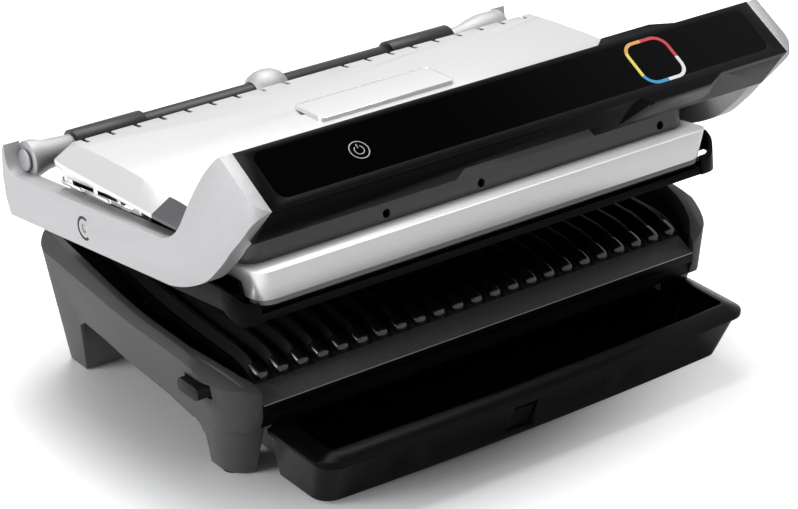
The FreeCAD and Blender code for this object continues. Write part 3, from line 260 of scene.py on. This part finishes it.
def grain_roughness(nodes, shader, noise, lowest, highest):
    """Lets a noise move the roughness between two values."""
    rough = nodes.nodes.new("ShaderNodeMapRange")
    rough.inputs["To Min"].default_value = lowest
    rough.inputs["To Max"].default_value = highest
    nodes.links.new(noise.outputs["Fac"], rough.inputs["Value"])
    nodes.links.new(rough.outputs[0], shader.inputs["Roughness"])


def moulded(name, colour, roughness, grain=900.0, height=0.02, spread=0.06, coat=0.0, metallic=0.0,
            specular=0.5, fleck=0.08):
    """A moulded or cast surface: a fine grain in the bump and colour and a soft drift in the roughness."""
    paint, nodes, shader = new_material(name)
    place = nodes.nodes.new("ShaderNodeTexCoord")
    fine = nodes.nodes.new("ShaderNodeTexNoise")
    fine.inputs["Scale"].default_value = grain
    fine.inputs["Detail"].default_value = GRAIN_DETAIL
    broad = nodes.nodes.new("ShaderNodeTexNoise")
    broad.inputs["Scale"].default_value = DRIFT_SCALE
    broad.inputs["Detail"].default_value = DRIFT_DETAIL
    nodes.links.new(place.outputs["Object"], fine.inputs["Vector"])
    nodes.links.new(place.outputs["Object"], broad.inputs["Vector"])
    grain_roughness(nodes, shader, broad, max(SMOOTHEST, roughness - spread), roughness + spread)
    grain_tone(nodes, shader, fine, colour, fleck)
    grain_bump(nodes, shader, fine, height, GRAIN_DEPTH)
    shader.inputs["Metallic"].default_value = metallic
    shader.inputs["Coat Weight"].default_value = coat
    shader.inputs["Specular IOR Level"].default_value = specular
    return paint


def painted_sheen_moulded(name, left, right, roughness, grain=1600.0, height=0.1, specular=0.1):
    """A dark moulded surface with a painted sheen: it grows lighter from the left end of the grill to the
    right.
    """
    paint = moulded(name, left, roughness, grain, height, specular=specular, fleck=GRADE_FLECK)
    nodes = paint.node_tree
    shader = nodes.nodes["Principled BSDF"]
    axes = nodes.nodes.new("ShaderNodeSeparateXYZ")
    place = nodes.nodes.new("ShaderNodeTexCoord")
    nodes.links.new(place.outputs["Object"], axes.inputs[0])
    along = smooth_step(nodes, axes.outputs["X"], *PAINTED_SHEEN_REACH)
    # the lighter colour towards the right end is a painted sheen, not the plastic's own colour
    drift = nodes.nodes.new("ShaderNodeMixRGB")
    drift.inputs["Color2"].default_value = (*right, 1)
    nodes.links.new(along, drift.inputs["Fac"])
    nodes.links.new(shader.inputs["Base Color"].links[0].from_socket, drift.inputs["Color1"])
    nodes.links.new(drift.outputs[0], shader.inputs["Base Color"])
    return paint


def brushed(name, colour, roughness, metallic, streak, height=0.03):
    """A brushed sheet: noise drawn out along the width gives fine lines in the tone, bump and roughness."""
    paint, nodes, shader = new_material(name)
    place = nodes.nodes.new("ShaderNodeTexCoord")
    stretch = nodes.nodes.new("ShaderNodeMapping")
    stretch.inputs["Scale"].default_value = SCRATCH_LINES
    scratches = nodes.nodes.new("ShaderNodeTexNoise")
    scratches.inputs["Scale"].default_value = 1.0
    scratches.inputs["Detail"].default_value = SCRATCH_DETAIL
    nodes.links.new(place.outputs["Object"], stretch.inputs["Vector"])
    nodes.links.new(stretch.outputs[0], scratches.inputs["Vector"])
    grain_roughness(nodes, shader, scratches, roughness - streak, roughness + streak)
    grain_tone(nodes, shader, scratches, colour, streak)
    grain_bump(nodes, shader, scratches, height, SCRATCH_DEPTH)
    shader.inputs["Metallic"].default_value = metallic
    return paint


# %% [markdown]
# A moulded finish gives its colour, its roughness, the scale of its grain and how high the grain stands. The
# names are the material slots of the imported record.
# %% The finishes of all pieces
PAINTS = {
    "housing_dark": moulded("housing_dark", (0.09, 0.091, 0.093), 0.5, 1300, 0.4, specular=0.15, fleck=0.25),
    "cover_plastic": moulded("cover_plastic", (0.004, 0.004, 0.004), 0.42, 1400, 0.2, specular=0.15),
    "rubber_black": moulded("rubber_black", (0.02, 0.02, 0.02), 0.8, 900, 0.4, specular=0.2),
    "plate_coating": moulded("plate_coating", (0.003, 0.003, 0.003), 0.32, 1600, 0.3, specular=0.07,
                             fleck=0.3),
    "bright_sheet": moulded("bright_sheet", (0.75, 0.75, 0.74), 0.18, 500, 0.05, metallic=1.0),
    "heater_tube": moulded("heater_tube", (0.2, 0.18, 0.16), 0.5, 700, 0.2, metallic=0.8),
    "circuit_board": moulded("circuit_board", (0.01, 0.12, 0.04), 0.4, 700, 0.05),
    "terminal_white": moulded("terminal_white", (0.75, 0.74, 0.7), 0.5, 900, 0.1),
    "screw_steel": moulded("screw_steel", (0.6, 0.6, 0.6), 0.3, 900, 0.1, metallic=1.0),
    "shaft_steel": moulded("shaft_steel", (0.62, 0.62, 0.62), 0.25, 900, 0.1, metallic=1.0),
    "arm_silver": moulded("arm_silver", (0.50, 0.50, 0.51), 0.42, 1300, 0.5, metallic=0.55, fleck=0.16),
    "knuckle_black": moulded("knuckle_black", (0.015, 0.015, 0.016), 0.36, 1200, 0.15, specular=0.3),
    "cover_steel": brushed("cover_steel", (0.80, 0.80, 0.80), 0.34, metallic=0.85, streak=0.03),
    "band_steel": brushed("band_steel", (0.95, 0.95, 0.95), 0.35, metallic=0.6, streak=0.02, height=0.015),
    "flange_grey": moulded("flange_grey", (0.24, 0.24, 0.24), 0.5, 1500, 0.5, fleck=0.2),
    "bezel_dark": moulded("bezel_dark", (0.085, 0.086, 0.09), 0.22, 1200, 0.02, specular=0.5),
    # the handle's and the inlay's lighter right ends are a painted sheen
    "handle_black": painted_sheen_moulded("handle_black", (0.003, 0.0031, 0.0033), (0.016, 0.0165, 0.017), 0.36,
                           specular=0.04),
    "inlay_gloss": painted_sheen_moulded("inlay_gloss", (0.0008, 0.0008, 0.0008), (0.011, 0.0115, 0.012), 0.12,
                          height=0.0, specular=0.01),
    "ring_light": moulded("ring_light", (0.8, 0.8, 0.78), 0.3, 900, 0.02),
    "tray_black": moulded("tray_black", (0.003, 0.0032, 0.0032), 0.26, 1200, 0.08, specular=0.09),
    "spring_steel": moulded("spring_steel", (0.5, 0.5, 0.5), 0.3, 900, 0.1, metallic=1.0),
}
print(len(PAINTS), "finishes")

# %% [markdown]
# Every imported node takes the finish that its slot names. The copies made later keep it.
# %% Paint the CAD nodes
slot_of = {row["node"]: row["material_slot"] for row in frame["record"]["subparts"]}
for node, node_object in frame["nodes"].items():
    paint = PAINTS[slot_of[node]]
    node_object.data.materials.clear()
    node_object.data.materials.append(paint)
print(len(frame["nodes"]), "nodes painted")

# %% [markdown]
# ## Rounded edges on the housings
# A real moulding or casting has no sharp edge: every corner carries a small radius that catches a line of
# light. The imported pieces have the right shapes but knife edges. Each one that shows is copied, its loose
# triangles are merged back into whole faces, and a bevel gives every corner its radius. The copy stands for
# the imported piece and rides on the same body.
# %% Helper for rounded copies
MERGE_DISTANCE = 0.00002
FLAT_LIMIT = 1.5
EDGE_ANGLE = 32.0
EDGE_SEGMENTS = 2
SMOOTH_ANGLE = 35.0
body_of = {}
for body_name, members in frame["record"]["behaviour"]["bodies"].items():
    for member in members:
        body_of[member] = body_name


def only(piece):
    """Selects one object and nothing else."""
    bpy.ops.object.select_all(action="DESELECT")
    piece.select_set(True)
    bpy.context.view_layer.objects.active = piece


def soften(piece, width, segments=EDGE_SEGMENTS):
    """Rounds the edges of the active piece with a bevel."""
    edge = piece.modifiers.new("edges", "BEVEL")
    edge.width = width
    edge.segments = segments
    bpy.ops.object.modifier_apply(modifier=edge.name)


def rounded(node, width, flat):
    """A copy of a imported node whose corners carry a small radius; it replaces the node."""
    only(frame["nodes"][node])
    bpy.ops.object.duplicate()
    piece = bpy.context.object
    piece.name = node + "_rounded"
    only(piece)
    bpy.ops.object.mode_set(mode="EDIT")
    bpy.ops.mesh.select_all(action="SELECT")
    bpy.ops.mesh.remove_doubles(threshold=MERGE_DISTANCE)
    bpy.ops.mesh.dissolve_limited(angle_limit=math.radians(flat))
    bpy.ops.mesh.normals_make_consistent(inside=False)
    bpy.ops.object.mode_set(mode="OBJECT")
    edge = piece.modifiers.new("edge_radius", "BEVEL")
    edge.width = width
    edge.segments = EDGE_SEGMENTS
    edge.limit_method = "ANGLE"
    edge.angle_limit = math.radians(EDGE_ANGLE)
    edge.harden_normals = False
    bpy.ops.object.modifier_apply(modifier=edge.name)
    bpy.ops.object.shade_smooth_by_angle(angle=math.radians(SMOOTH_ANGLE))
    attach(piece, body_of[node])
    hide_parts(node)
    print(piece.name, len(piece.data.polygons), "faces")
    return piece


# %% [markdown]
# The radius follows the way each piece is made: about a millimetre on castings and mouldings, and a third of
# one on folded sheet. The tray's faces merge only when they are almost exactly flat, because a looser merge
# leaves a crease across its front.
# %% Rounded copies of the castings, mouldings and sheets
EDGE_SIZES = {
    "arm_right": 0.0011,
    "arm_left": 0.0011,
    "handle_body": 0.0007,
    "upper_cover": 0.0003,
    "upper_band": 0.0005,
    "upper_flange": 0.0004,
    "upper_plate": 0.0007,
    "side_rail_right": 0.0003,
    "side_rail_left": 0.0003,
    "rod_dome": 0.0012,
    "hinge_cone_right": 0.0006,
    "hinge_cone_left": 0.0006,
    "rod_cover": 0.0005,
    "base_shell": 0.0008,
    "front_leg_right": 0.0012,
    "front_leg_left": 0.0012,
    "drip_tray": 0.0007,
    "lower_plate": 0.0005,
    "hinge_post_right": 0.0012,
    "hinge_post_left": 0.0012,
    "lower_release_button": 0.0008,
    "cord_gland": 0.0005,
}
FLAT_LIMITS = {"drip_tray": 0.3}
copies = {}
for node, width in EDGE_SIZES.items():
    copies[node] = rounded(node, width, FLAT_LIMITS.get(node, FLAT_LIMIT))

# %% [markdown]
# ## Two finishes on one casting
# The lower plate's lip has a rougher, greyer grain than the ribs, and its grey is partly a painted sheen for
# the light that its up-facing slope catches. The copy of the plate gets a second material, and only the faces
# in front of the ribs that look up take it.
# The release knob has the black of the covers, and the plate on the lid's cover has the cover's own finish.
# %% Lip, knob and cover plate
LIP_REAR = -0.0905
LOOKS_UP = 0.2
# partly the lip's grain and partly a painted sheen: a greyer colour only on faces that look up
sheened_lip_paint = moulded("lip_grain_and_painted_sheen", (0.10, 0.10, 0.10), 0.42, 900, 0.9, specular=0.4, fleck=0.75)
plate_copy = copies["lower_plate"]
plate_copy.data.materials.append(sheened_lip_paint)
lip_faces = 0
for face in plate_copy.data.polygons:
    if face.center.y < LIP_REAR and face.normal.z > LOOKS_UP:
        face.material_index = 1
        lip_faces += 1
print("lip faces", lip_faces)
copies["lower_release_button"].data.materials[0] = PAINTS["cover_plastic"]
frame["nodes"]["cover_plate"].data.materials[0] = PAINTS["cover_steel"]

# %% [markdown]
# ## The handle's panel
# The handle's top is a plane that slopes towards the user. Everything on it is easiest to draw flat and then
# lay in place, so the plane gets a frame of its own: width, distance from the rear edge, and depth.
# %% Frame of the panel
HINGE = Vector((0.0, 0.1677, 0.1618))
LID_TURN = math.radians(-8.0)
PANEL_REAR = Vector((0.0, -0.3013, 0.0687))
PANEL_TURN = math.radians(216.8)
SMALL_MERGE = 0.000005
lid_frame = Matrix.Translation(HINGE) @ Matrix.Rotation(LID_TURN, 4, "X")
panel_frame = lid_frame @ Matrix.Translation(PANEL_REAR) @ Matrix.Rotation(PANEL_TURN, 4, "X")
print("panel origin", [round(v, 4) for v in panel_frame.translation])


def lay(piece, place):
    """Moves a piece drawn flat at the origin to its place and applies the move."""
    only(piece)
    piece.matrix_world = place @ piece.matrix_world
    bpy.ops.object.transform_apply(location=True, rotation=True, scale=True)


def settle(piece, name, body, paint=None, angle=SMOOTH_ANGLE):
    """Names a finished piece, points its faces outwards, smooths it and lets it ride on its body."""
    piece.name = name
    only(piece)
    bpy.ops.object.mode_set(mode="EDIT")
    bpy.ops.mesh.select_all(action="SELECT")
    bpy.ops.mesh.remove_doubles(threshold=SMALL_MERGE)
    bpy.ops.mesh.normals_make_consistent(inside=False)
    bpy.ops.object.mode_set(mode="OBJECT")
    bpy.ops.object.shade_smooth_by_angle(angle=math.radians(angle))
    if paint is not None:
        piece.data.materials.clear()
        piece.data.materials.append(paint)
    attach(piece, body)
    print(name, len(piece.data.polygons), "faces")


def choose_faces(piece, test):
    """In object mode, selects just the faces whose centre passes a test."""
    for face in piece.data.polygons:
        face.select = test(face.center)
    for edge in piece.data.edges:
        edge.select = False
    for corner in piece.data.vertices:
        corner.select = False
    for face in piece.data.polygons:
        if face.select:
            for index in face.vertices:
                piece.data.vertices[index].select = True


# %% [markdown]
# ## The light ring
# A rounded square of clear plastic round the mode button in five colours that meet at crisp joints, each with
# a weak painted glow. It starts as a plane whose corners are rounded by a vertex bevel. An inset leaves the
# narrow frame, and cuts across it mark where one colour ends. Each stretch gets its own finish by its angle
# round the middle.
# %% Light ring
RING_X = 0.1209
RING_S = 0.0259
RING_SIZE = 0.0408
RING_WIDTH = 0.0027
RING_CORNER = 0.0118
RING_DEPTH = 0.0015
RING_CORNER_STEPS = 10
RING_CUTS = [((0, 1, 0), -0.0126), ((0, 1, 0), 0.0021), ((0, 1, 0), 0.0110), ((1, 0, 0), -0.0008)]
RING_PAINTED_GLOW = 0.25
# colour, then the angles in degrees at which the stretch starts and ends
RING_COLOURS = {
    "ring_amber": ((0.78, 0.42, 0.12), -149.0, -93.0),
    "ring_red": ((0.62, 0.05, 0.07), -93.0, 6.0),
    "ring_white": ((0.85, 0.85, 0.85), 6.0, 88.0),
    "ring_blue": ((0.05, 0.32, 0.62), 88.0, 152.0),
    "ring_yellow": ((0.86, 0.76, 0.14), 152.0, 211.0),
}
bpy.ops.object.select_all(action="DESELECT")
bpy.ops.mesh.primitive_plane_add(size=RING_SIZE, location=(0, 0, 0))
light_ring = bpy.context.object
bpy.ops.object.mode_set(mode="EDIT")
bpy.ops.mesh.select_all(action="SELECT")
bpy.ops.mesh.bevel(offset=RING_CORNER, segments=RING_CORNER_STEPS, affect="VERTICES")
bpy.ops.mesh.select_all(action="SELECT")
bpy.ops.mesh.inset(thickness=RING_WIDTH)
bpy.ops.mesh.delete(type="FACE")
for across, offset_along in RING_CUTS:
    bpy.ops.mesh.select_all(action="SELECT")
    bpy.ops.mesh.bisect(plane_co=Vector(across) * offset_along, plane_no=across)
bpy.ops.mesh.select_all(action="SELECT")
bpy.ops.mesh.extrude_region_move(TRANSFORM_OT_translate={"value": (0, 0, RING_DEPTH)})
bpy.ops.object.mode_set(mode="OBJECT")
light_ring.data.materials.clear()
for name, (colour, _, _) in RING_COLOURS.items():
    paint = moulded(name, colour, 0.25, 1500, 0.02, coat=0.3)
    shader = paint.node_tree.nodes["Principled BSDF"]
    # a weak painted glow in each colour
    shader.inputs["Emission Color"].default_value = (*colour, 1)
    shader.inputs["Emission Strength"].default_value = RING_PAINTED_GLOW
    light_ring.data.materials.append(paint)
for face in light_ring.data.polygons:
    turn = math.degrees(math.atan2(face.center.y, face.center.x))
    for index, (_, start, end) in enumerate(RING_COLOURS.values()):
        if start <= turn < end or start <= turn + 360.0 < end:
            face.material_index = index
lay(light_ring, panel_frame @ Matrix.Translation((RING_X, RING_S, 0.0)))
settle(light_ring, "light_ring_colours", "lid")
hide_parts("light_ring")

# %% [markdown]
# ## The power symbol
# The left button carries the usual sign for power: an open circle with a short bar in the gap, inside a thin
# ring. The lines are printed on the real one, so each is a very flat body that stands proud by a small
# fraction of a millimetre. The open circle is a full ring whose rear stretch of faces is deleted.
# %% Power symbol
POWER_X = -0.1444
MARK_RISE = 0.0002
# name, radius, thickness, opening in degrees
POWER_RINGS = [("power_mark_ring", 0.0073, 0.0008, 0.0), ("power_mark_arc", 0.0036, 0.0007, 70.0)]
STROKE_PLACE = (0, -0.0033, 0)
STROKE_SIZE = (0.0007, 0.0034, 0.0003)
STROKE_EDGE = 0.0001
RING_FLATNESS = 0.3
RING_STEPS_ROUND = 64
RING_STEPS_ACROSS = 8
mark_paint = moulded("printed_mark", (0.62, 0.62, 0.62), 0.4, 1500, 0.02)


def flat_ring(radius, thickness, gap=0.0):
    """A flat ring drawn at the origin, with an opening towards the rear when a gap in degrees is given."""
    bpy.ops.object.select_all(action="DESELECT")
    bpy.ops.mesh.primitive_torus_add(major_radius=radius, minor_radius=thickness / 2.0,
                                     major_segments=RING_STEPS_ROUND, minor_segments=RING_STEPS_ACROSS)
    piece = bpy.context.object
    if gap:
        choose_faces(piece, lambda c: abs(math.degrees(math.atan2(c.x, -c.y))) < gap / 2.0)
        bpy.ops.object.mode_set(mode="EDIT")
        bpy.ops.mesh.delete(type="FACE")
        bpy.ops.mesh.select_all(action="SELECT")
        bpy.ops.mesh.region_to_loop()
        bpy.ops.mesh.edge_face_add()
        bpy.ops.object.mode_set(mode="OBJECT")
    piece.scale = (1.0, 1.0, RING_FLATNESS)
    bpy.ops.object.transform_apply(location=True, rotation=True, scale=True)
    return piece


button_place = panel_frame @ Matrix.Translation((POWER_X, RING_S, MARK_RISE))
for name, radius, thickness, gap in POWER_RINGS:
    line_piece = flat_ring(radius, thickness, gap)
    lay(line_piece, button_place)
    settle(line_piece, name, "power_button", mark_paint)
bpy.ops.object.select_all(action="DESELECT")
bpy.ops.mesh.primitive_cube_add(size=1.0, location=STROKE_PLACE)
stroke = bpy.context.object
stroke.scale = STROKE_SIZE
bpy.ops.object.transform_apply(location=True, rotation=True, scale=True)
soften(stroke, STROKE_EDGE)
lay(stroke, button_place)
settle(stroke, "power_mark_stroke", "power_button", mark_paint)

# %% [markdown]
# ## The groove round the pivot
# Round each pivot screw the casting has a dark groove shaped like a letter C. Its darkness is painted shade:
# a flat open ring in black, laid against the arm's outer face.
# %% Pivot grooves
PIVOT = Vector((0.0, -0.1021, -0.0274))
ARM_FACE = 0.24175
GROOVE_RADIUS = 0.0082
GROOVE_WIDTH = 0.0024
GROOVE_GAP = 110.0
# painted shade: the groove's darkness is a flat black ring, not a recess
groove_shade_paint = moulded("painted_groove_shade", (0.012, 0.012, 0.012), 0.6, 1500, 0.1)
for name, side in (("pivot_groove_left", -1.0), ("pivot_groove_right", 1.0)):
    groove = flat_ring(GROOVE_RADIUS, GROOVE_WIDTH, GROOVE_GAP)
    turned_out = Matrix.Rotation(math.radians(90.0) * side, 4, "Y")
    lay(groove, lid_frame @ Matrix.Translation((side * ARM_FACE, PIVOT.y, PIVOT.z)) @ turned_out)
    settle(groove, name, "lid", groove_shade_paint)

# %% [markdown]
# ## The rounded rib ends
# Each rib of the lower plate ends above the lip in a smooth rounded nose. One nose starts as a sphere that is
# flattened, and its rear half is drawn back and up along the rib with the neighbouring points following
# softly. An array sets one nose at each of the twenty-three ribs.
# %% Rib ends
RIB_COUNT = 23
RIB_PITCH = 0.01755
NOSE_CENTRE = Vector((0.0008, -0.0886, 0.0786))
NOSE_RADII = (0.0060, 0.0058, 0.0050)
NOSE_REAR = 0.001
NOSE_DRAW = (0.0, 0.006, 0.0024)
NOSE_REACH = 0.004
NOSE_SMOOTH = 70.0
bpy.ops.object.select_all(action="DESELECT")
bpy.ops.mesh.primitive_uv_sphere_add(segments=20, ring_count=12, radius=1.0)
nose = bpy.context.object
nose.scale = NOSE_RADII
bpy.ops.object.transform_apply(location=True, rotation=True, scale=True)
choose_faces(nose, lambda c: c.y > NOSE_REAR)
bpy.ops.object.mode_set(mode="EDIT")
bpy.ops.transform.translate(value=NOSE_DRAW, use_proportional_edit=True, proportional_size=NOSE_REACH)
bpy.ops.object.mode_set(mode="OBJECT")
nose.location = NOSE_CENTRE + Vector((-(RIB_COUNT - 1) / 2.0 * RIB_PITCH, 0, 0))
row_of_noses = nose.modifiers.new("row", "ARRAY")
row_of_noses.count = RIB_COUNT
row_of_noses.use_relative_offset = False
row_of_noses.use_constant_offset = True
row_of_noses.constant_offset_displace = (RIB_PITCH, 0, 0)
bpy.ops.object.modifier_apply(modifier="row")
bpy.ops.object.transform_apply(location=True, rotation=True, scale=True)
nose_paint = moulded("rib_end", (0.007, 0.007, 0.007), 0.2, 1500, 0.1, specular=0.6, coat=0.3)
settle(nose, "rib_ends", "base", nose_paint, angle=NOSE_SMOOTH)

# %% [markdown]
# ## The bright bars under the cover
# Low in the gap between the cover's hem and the arm, short polished bars shine. Each is a flat plate whose
# top is moved along, so that its ends slant, with rounded edges, laid against the rail that carries the
# cover's side.
# %% Bright bars
BAR_FACE = 0.2314
BAR_PROUD = 0.0009
BAR_EDGE = 0.0003
BAR_TOP = 0.0001
# front, rear, low, high, and how far the top moves
BARS = [(-0.0875, -0.0600, -0.0054, -0.0024, 0.003), (-0.1270, -0.0965, -0.0060, -0.0030, 0.003),
        (-0.1560, -0.1440, -0.0056, -0.0006, -0.007)]
polished = moulded("polished_bar", (0.92, 0.92, 0.92), 0.08, 900, height=0.0, spread=0.02, metallic=1.0)
for side_name, side in (("left", -1.0), ("right", 1.0)):
    for index, (front, rear, low, high, slant) in enumerate(BARS, start=1):
        bpy.ops.object.select_all(action="DESELECT")
        bar_middle = (side * BAR_FACE, (front + rear) / 2, (low + high) / 2)
        bpy.ops.mesh.primitive_cube_add(size=1.0, location=bar_middle)
        bright = bpy.context.object
        bright.scale = (2 * BAR_PROUD, rear - front, high - low)
        bpy.ops.object.transform_apply(location=True, rotation=True, scale=True)
        choose_faces(bright, lambda c: c.z > high - BAR_TOP)
        bpy.ops.object.mode_set(mode="EDIT")
        bpy.ops.transform.translate(value=(0.0, slant, 0.0))
        bpy.ops.object.mode_set(mode="OBJECT")
        soften(bright, BAR_EDGE)
        lay(bright, lid_frame)
        settle(bright, f"bright_bar_{side_name}_{index}", "upper_unit", polished)

# %% [markdown]
# ## The cap line of the handle
# The handle's upper shell ends in a thin step that runs along the front edge and follows the bump round the
# ring button. It starts as one point on the panel plane that is extruded along the front edge and then down
# the front face, and gets its thickness last.
# %% Cap line
CAP_DEPTH = 0.0052
CAP_PROUD = 0.0005
CAP_LINE = [(-0.2314, 0.0522), (0.0871, 0.0522), (0.0960, 0.0593), (0.1500, 0.0593), (0.1655, 0.0522),
            (0.2314, 0.0522)]
CAP_DRAW = 0.122
CAP_EDGE = 0.0002
CAP_START = 0.001
bpy.ops.object.select_all(action="DESELECT")
bpy.ops.mesh.primitive_plane_add(size=CAP_START, location=(0, 0, 0))
cap = bpy.context.object
bpy.ops.object.mode_set(mode="EDIT")
bpy.ops.mesh.select_all(action="SELECT")
bpy.ops.mesh.merge(type="CENTER")
bpy.ops.transform.translate(value=(*CAP_LINE[0], 0.0))
for start, end in zip(CAP_LINE, CAP_LINE[1:]):
    step = (end[0] - start[0], end[1] - start[1], 0)
    bpy.ops.mesh.extrude_vertices_move(TRANSFORM_OT_translate={"value": step})
bpy.ops.mesh.select_all(action="SELECT")
bpy.ops.mesh.extrude_edges_move(TRANSFORM_OT_translate={"value": (0.0, -CAP_DRAW * CAP_DEPTH, CAP_DEPTH)})
bpy.ops.mesh.select_all(action="SELECT")
bpy.ops.mesh.normals_make_consistent(inside=False)
bpy.ops.object.mode_set(mode="OBJECT")
thicken = cap.modifiers.new("thickness", "SOLIDIFY")
thicken.thickness = 2 * CAP_PROUD
thicken.offset = 0.0
bpy.ops.object.modifier_apply(modifier="thickness")
soften(cap, CAP_EDGE)
lay(cap, panel_frame)
settle(cap, "handle_cap_line", "lid", PAINTS["handle_black"])

# %% [markdown]
# ## The border of the plate on the cover
# A fine polished bead frames the raised plate on the cover. The bead starts as a rectangle with rounded
# corners, is inset to a narrow frame and raised, and each of its points is then set on the crown of the
# cover, which is a shallow arch from front to rear.
# %% Plate border
PLATE_HALF = (0.063, 0.019)
PLATE_MIDDLE = -0.1375
PLATE_CORNER = 0.005
PLATE_CORNER_STEPS = 6
BEAD_WIDTH = 0.0011
BEAD_RISE = 0.0007
CROWN = [(-0.0549, 0.0229), (-0.0809, 0.0233), (-0.1089, 0.0228), (-0.1366, 0.0212), (-0.1630, 0.0180)]
PLATE_RISE = 0.0023
BEAD_CUTS = (-0.012, -0.006, 0.0, 0.006, 0.012)
BEAD_EDGE = 0.00025


def crown_height(depth):
    """The height of the cover's middle at a depth, by straight lines between its measured points."""
    for (y0, z0), (y1, z1) in zip(CROWN, CROWN[1:]):
        if y1 <= depth <= y0:
            return z0 + (z1 - z0) * (depth - y0) / (y1 - y0)
    return CROWN[-1][1]


bpy.ops.object.select_all(action="DESELECT")
bpy.ops.mesh.primitive_plane_add(size=2.0, location=(0, 0, 0))
bead = bpy.context.object
bead.scale = (*PLATE_HALF, 1.0)
bpy.ops.object.transform_apply(location=True, rotation=True, scale=True)
bpy.ops.object.mode_set(mode="EDIT")
bpy.ops.mesh.select_all(action="SELECT")
bpy.ops.mesh.bevel(offset=PLATE_CORNER, segments=PLATE_CORNER_STEPS, affect="VERTICES")
bpy.ops.mesh.select_all(action="SELECT")
bpy.ops.mesh.inset(thickness=BEAD_WIDTH)
bpy.ops.mesh.delete(type="FACE")
for cut_at in BEAD_CUTS:
    bpy.ops.mesh.select_all(action="SELECT")
    bpy.ops.mesh.bisect(plane_co=(0, cut_at, 0), plane_no=(0, 1, 0))
bpy.ops.mesh.select_all(action="SELECT")
bpy.ops.mesh.extrude_region_move(TRANSFORM_OT_translate={"value": (0, 0, BEAD_RISE)})
bpy.ops.object.mode_set(mode="OBJECT")
for corner in bead.data.vertices:
    corner.co.y += PLATE_MIDDLE
    corner.co.z += crown_height(corner.co.y) + PLATE_RISE
soften(bead, BEAD_EDGE)
lay(bead, lid_frame)
settle(bead, "cover_plate_bead", "upper_unit", polished)

# %% [markdown]
# ## The caps on the hinge's ends
# Each silver cone of the hinge ends in a flat cap with a rounded rim that hides the steel shaft. It starts as
# a short cylinder whose rims are rounded by a bevel, and lies against the end of the cone.
# %% Hinge caps
CONE_END = 0.2300
HINGE_CAP_RADIUS = 0.0085
HINGE_CAP_THICK = 0.0022
HINGE_CAP_RIM = 0.0009
HINGE_CAP_SEGMENTS = 3
HINGE_CAP_SIDES = 40
for side_name, side in (("left", -1.0), ("right", 1.0)):
    bpy.ops.object.select_all(action="DESELECT")
    bpy.ops.mesh.primitive_cylinder_add(vertices=HINGE_CAP_SIDES, radius=HINGE_CAP_RADIUS,
                                        depth=HINGE_CAP_THICK, location=(side * CONE_END, 0, 0),
                                        rotation=(0, math.radians(90.0), 0))
    hinge_cap = bpy.context.object
    bpy.ops.object.transform_apply(location=True, rotation=True, scale=True)
    soften(hinge_cap, HINGE_CAP_RIM, HINGE_CAP_SEGMENTS)
    lay(hinge_cap, lid_frame)
    settle(hinge_cap, "hinge_cap_" + side_name, "lid", PAINTS["arm_silver"])

# %% [markdown]
# ## The bright edge of the lip
# The lip's front edge catches the light as one fine line, a painted highlight. It is a thin rod
# with rounded ends, half sunk in the edge.
# %% Lip edge
LIP_EDGE = Vector((0.0, -0.1079, 0.0648))
LIP_EDGE_RADIUS = 0.00042
LIP_EDGE_LENGTH = 0.4050
LIP_EDGE_SIDES = 10
LIP_EDGE_ENDS = 0.0002
bpy.ops.object.select_all(action="DESELECT")
bpy.ops.mesh.primitive_cylinder_add(vertices=LIP_EDGE_SIDES, radius=LIP_EDGE_RADIUS, depth=LIP_EDGE_LENGTH,
                                    location=LIP_EDGE, rotation=(0, math.radians(90.0), 0))
edge_line = bpy.context.object
bpy.ops.object.transform_apply(location=True, rotation=True, scale=True)
soften(edge_line, LIP_EDGE_ENDS)
# painted highlight: a bright metal rod where the edge catches the light
lip_highlight_paint = moulded("painted_lip_highlight", (0.34, 0.34, 0.34), 0.3, 1800, 0.2, metallic=0.9, fleck=0.3)
settle(edge_line, "lip_bright_edge", "base", lip_highlight_paint)
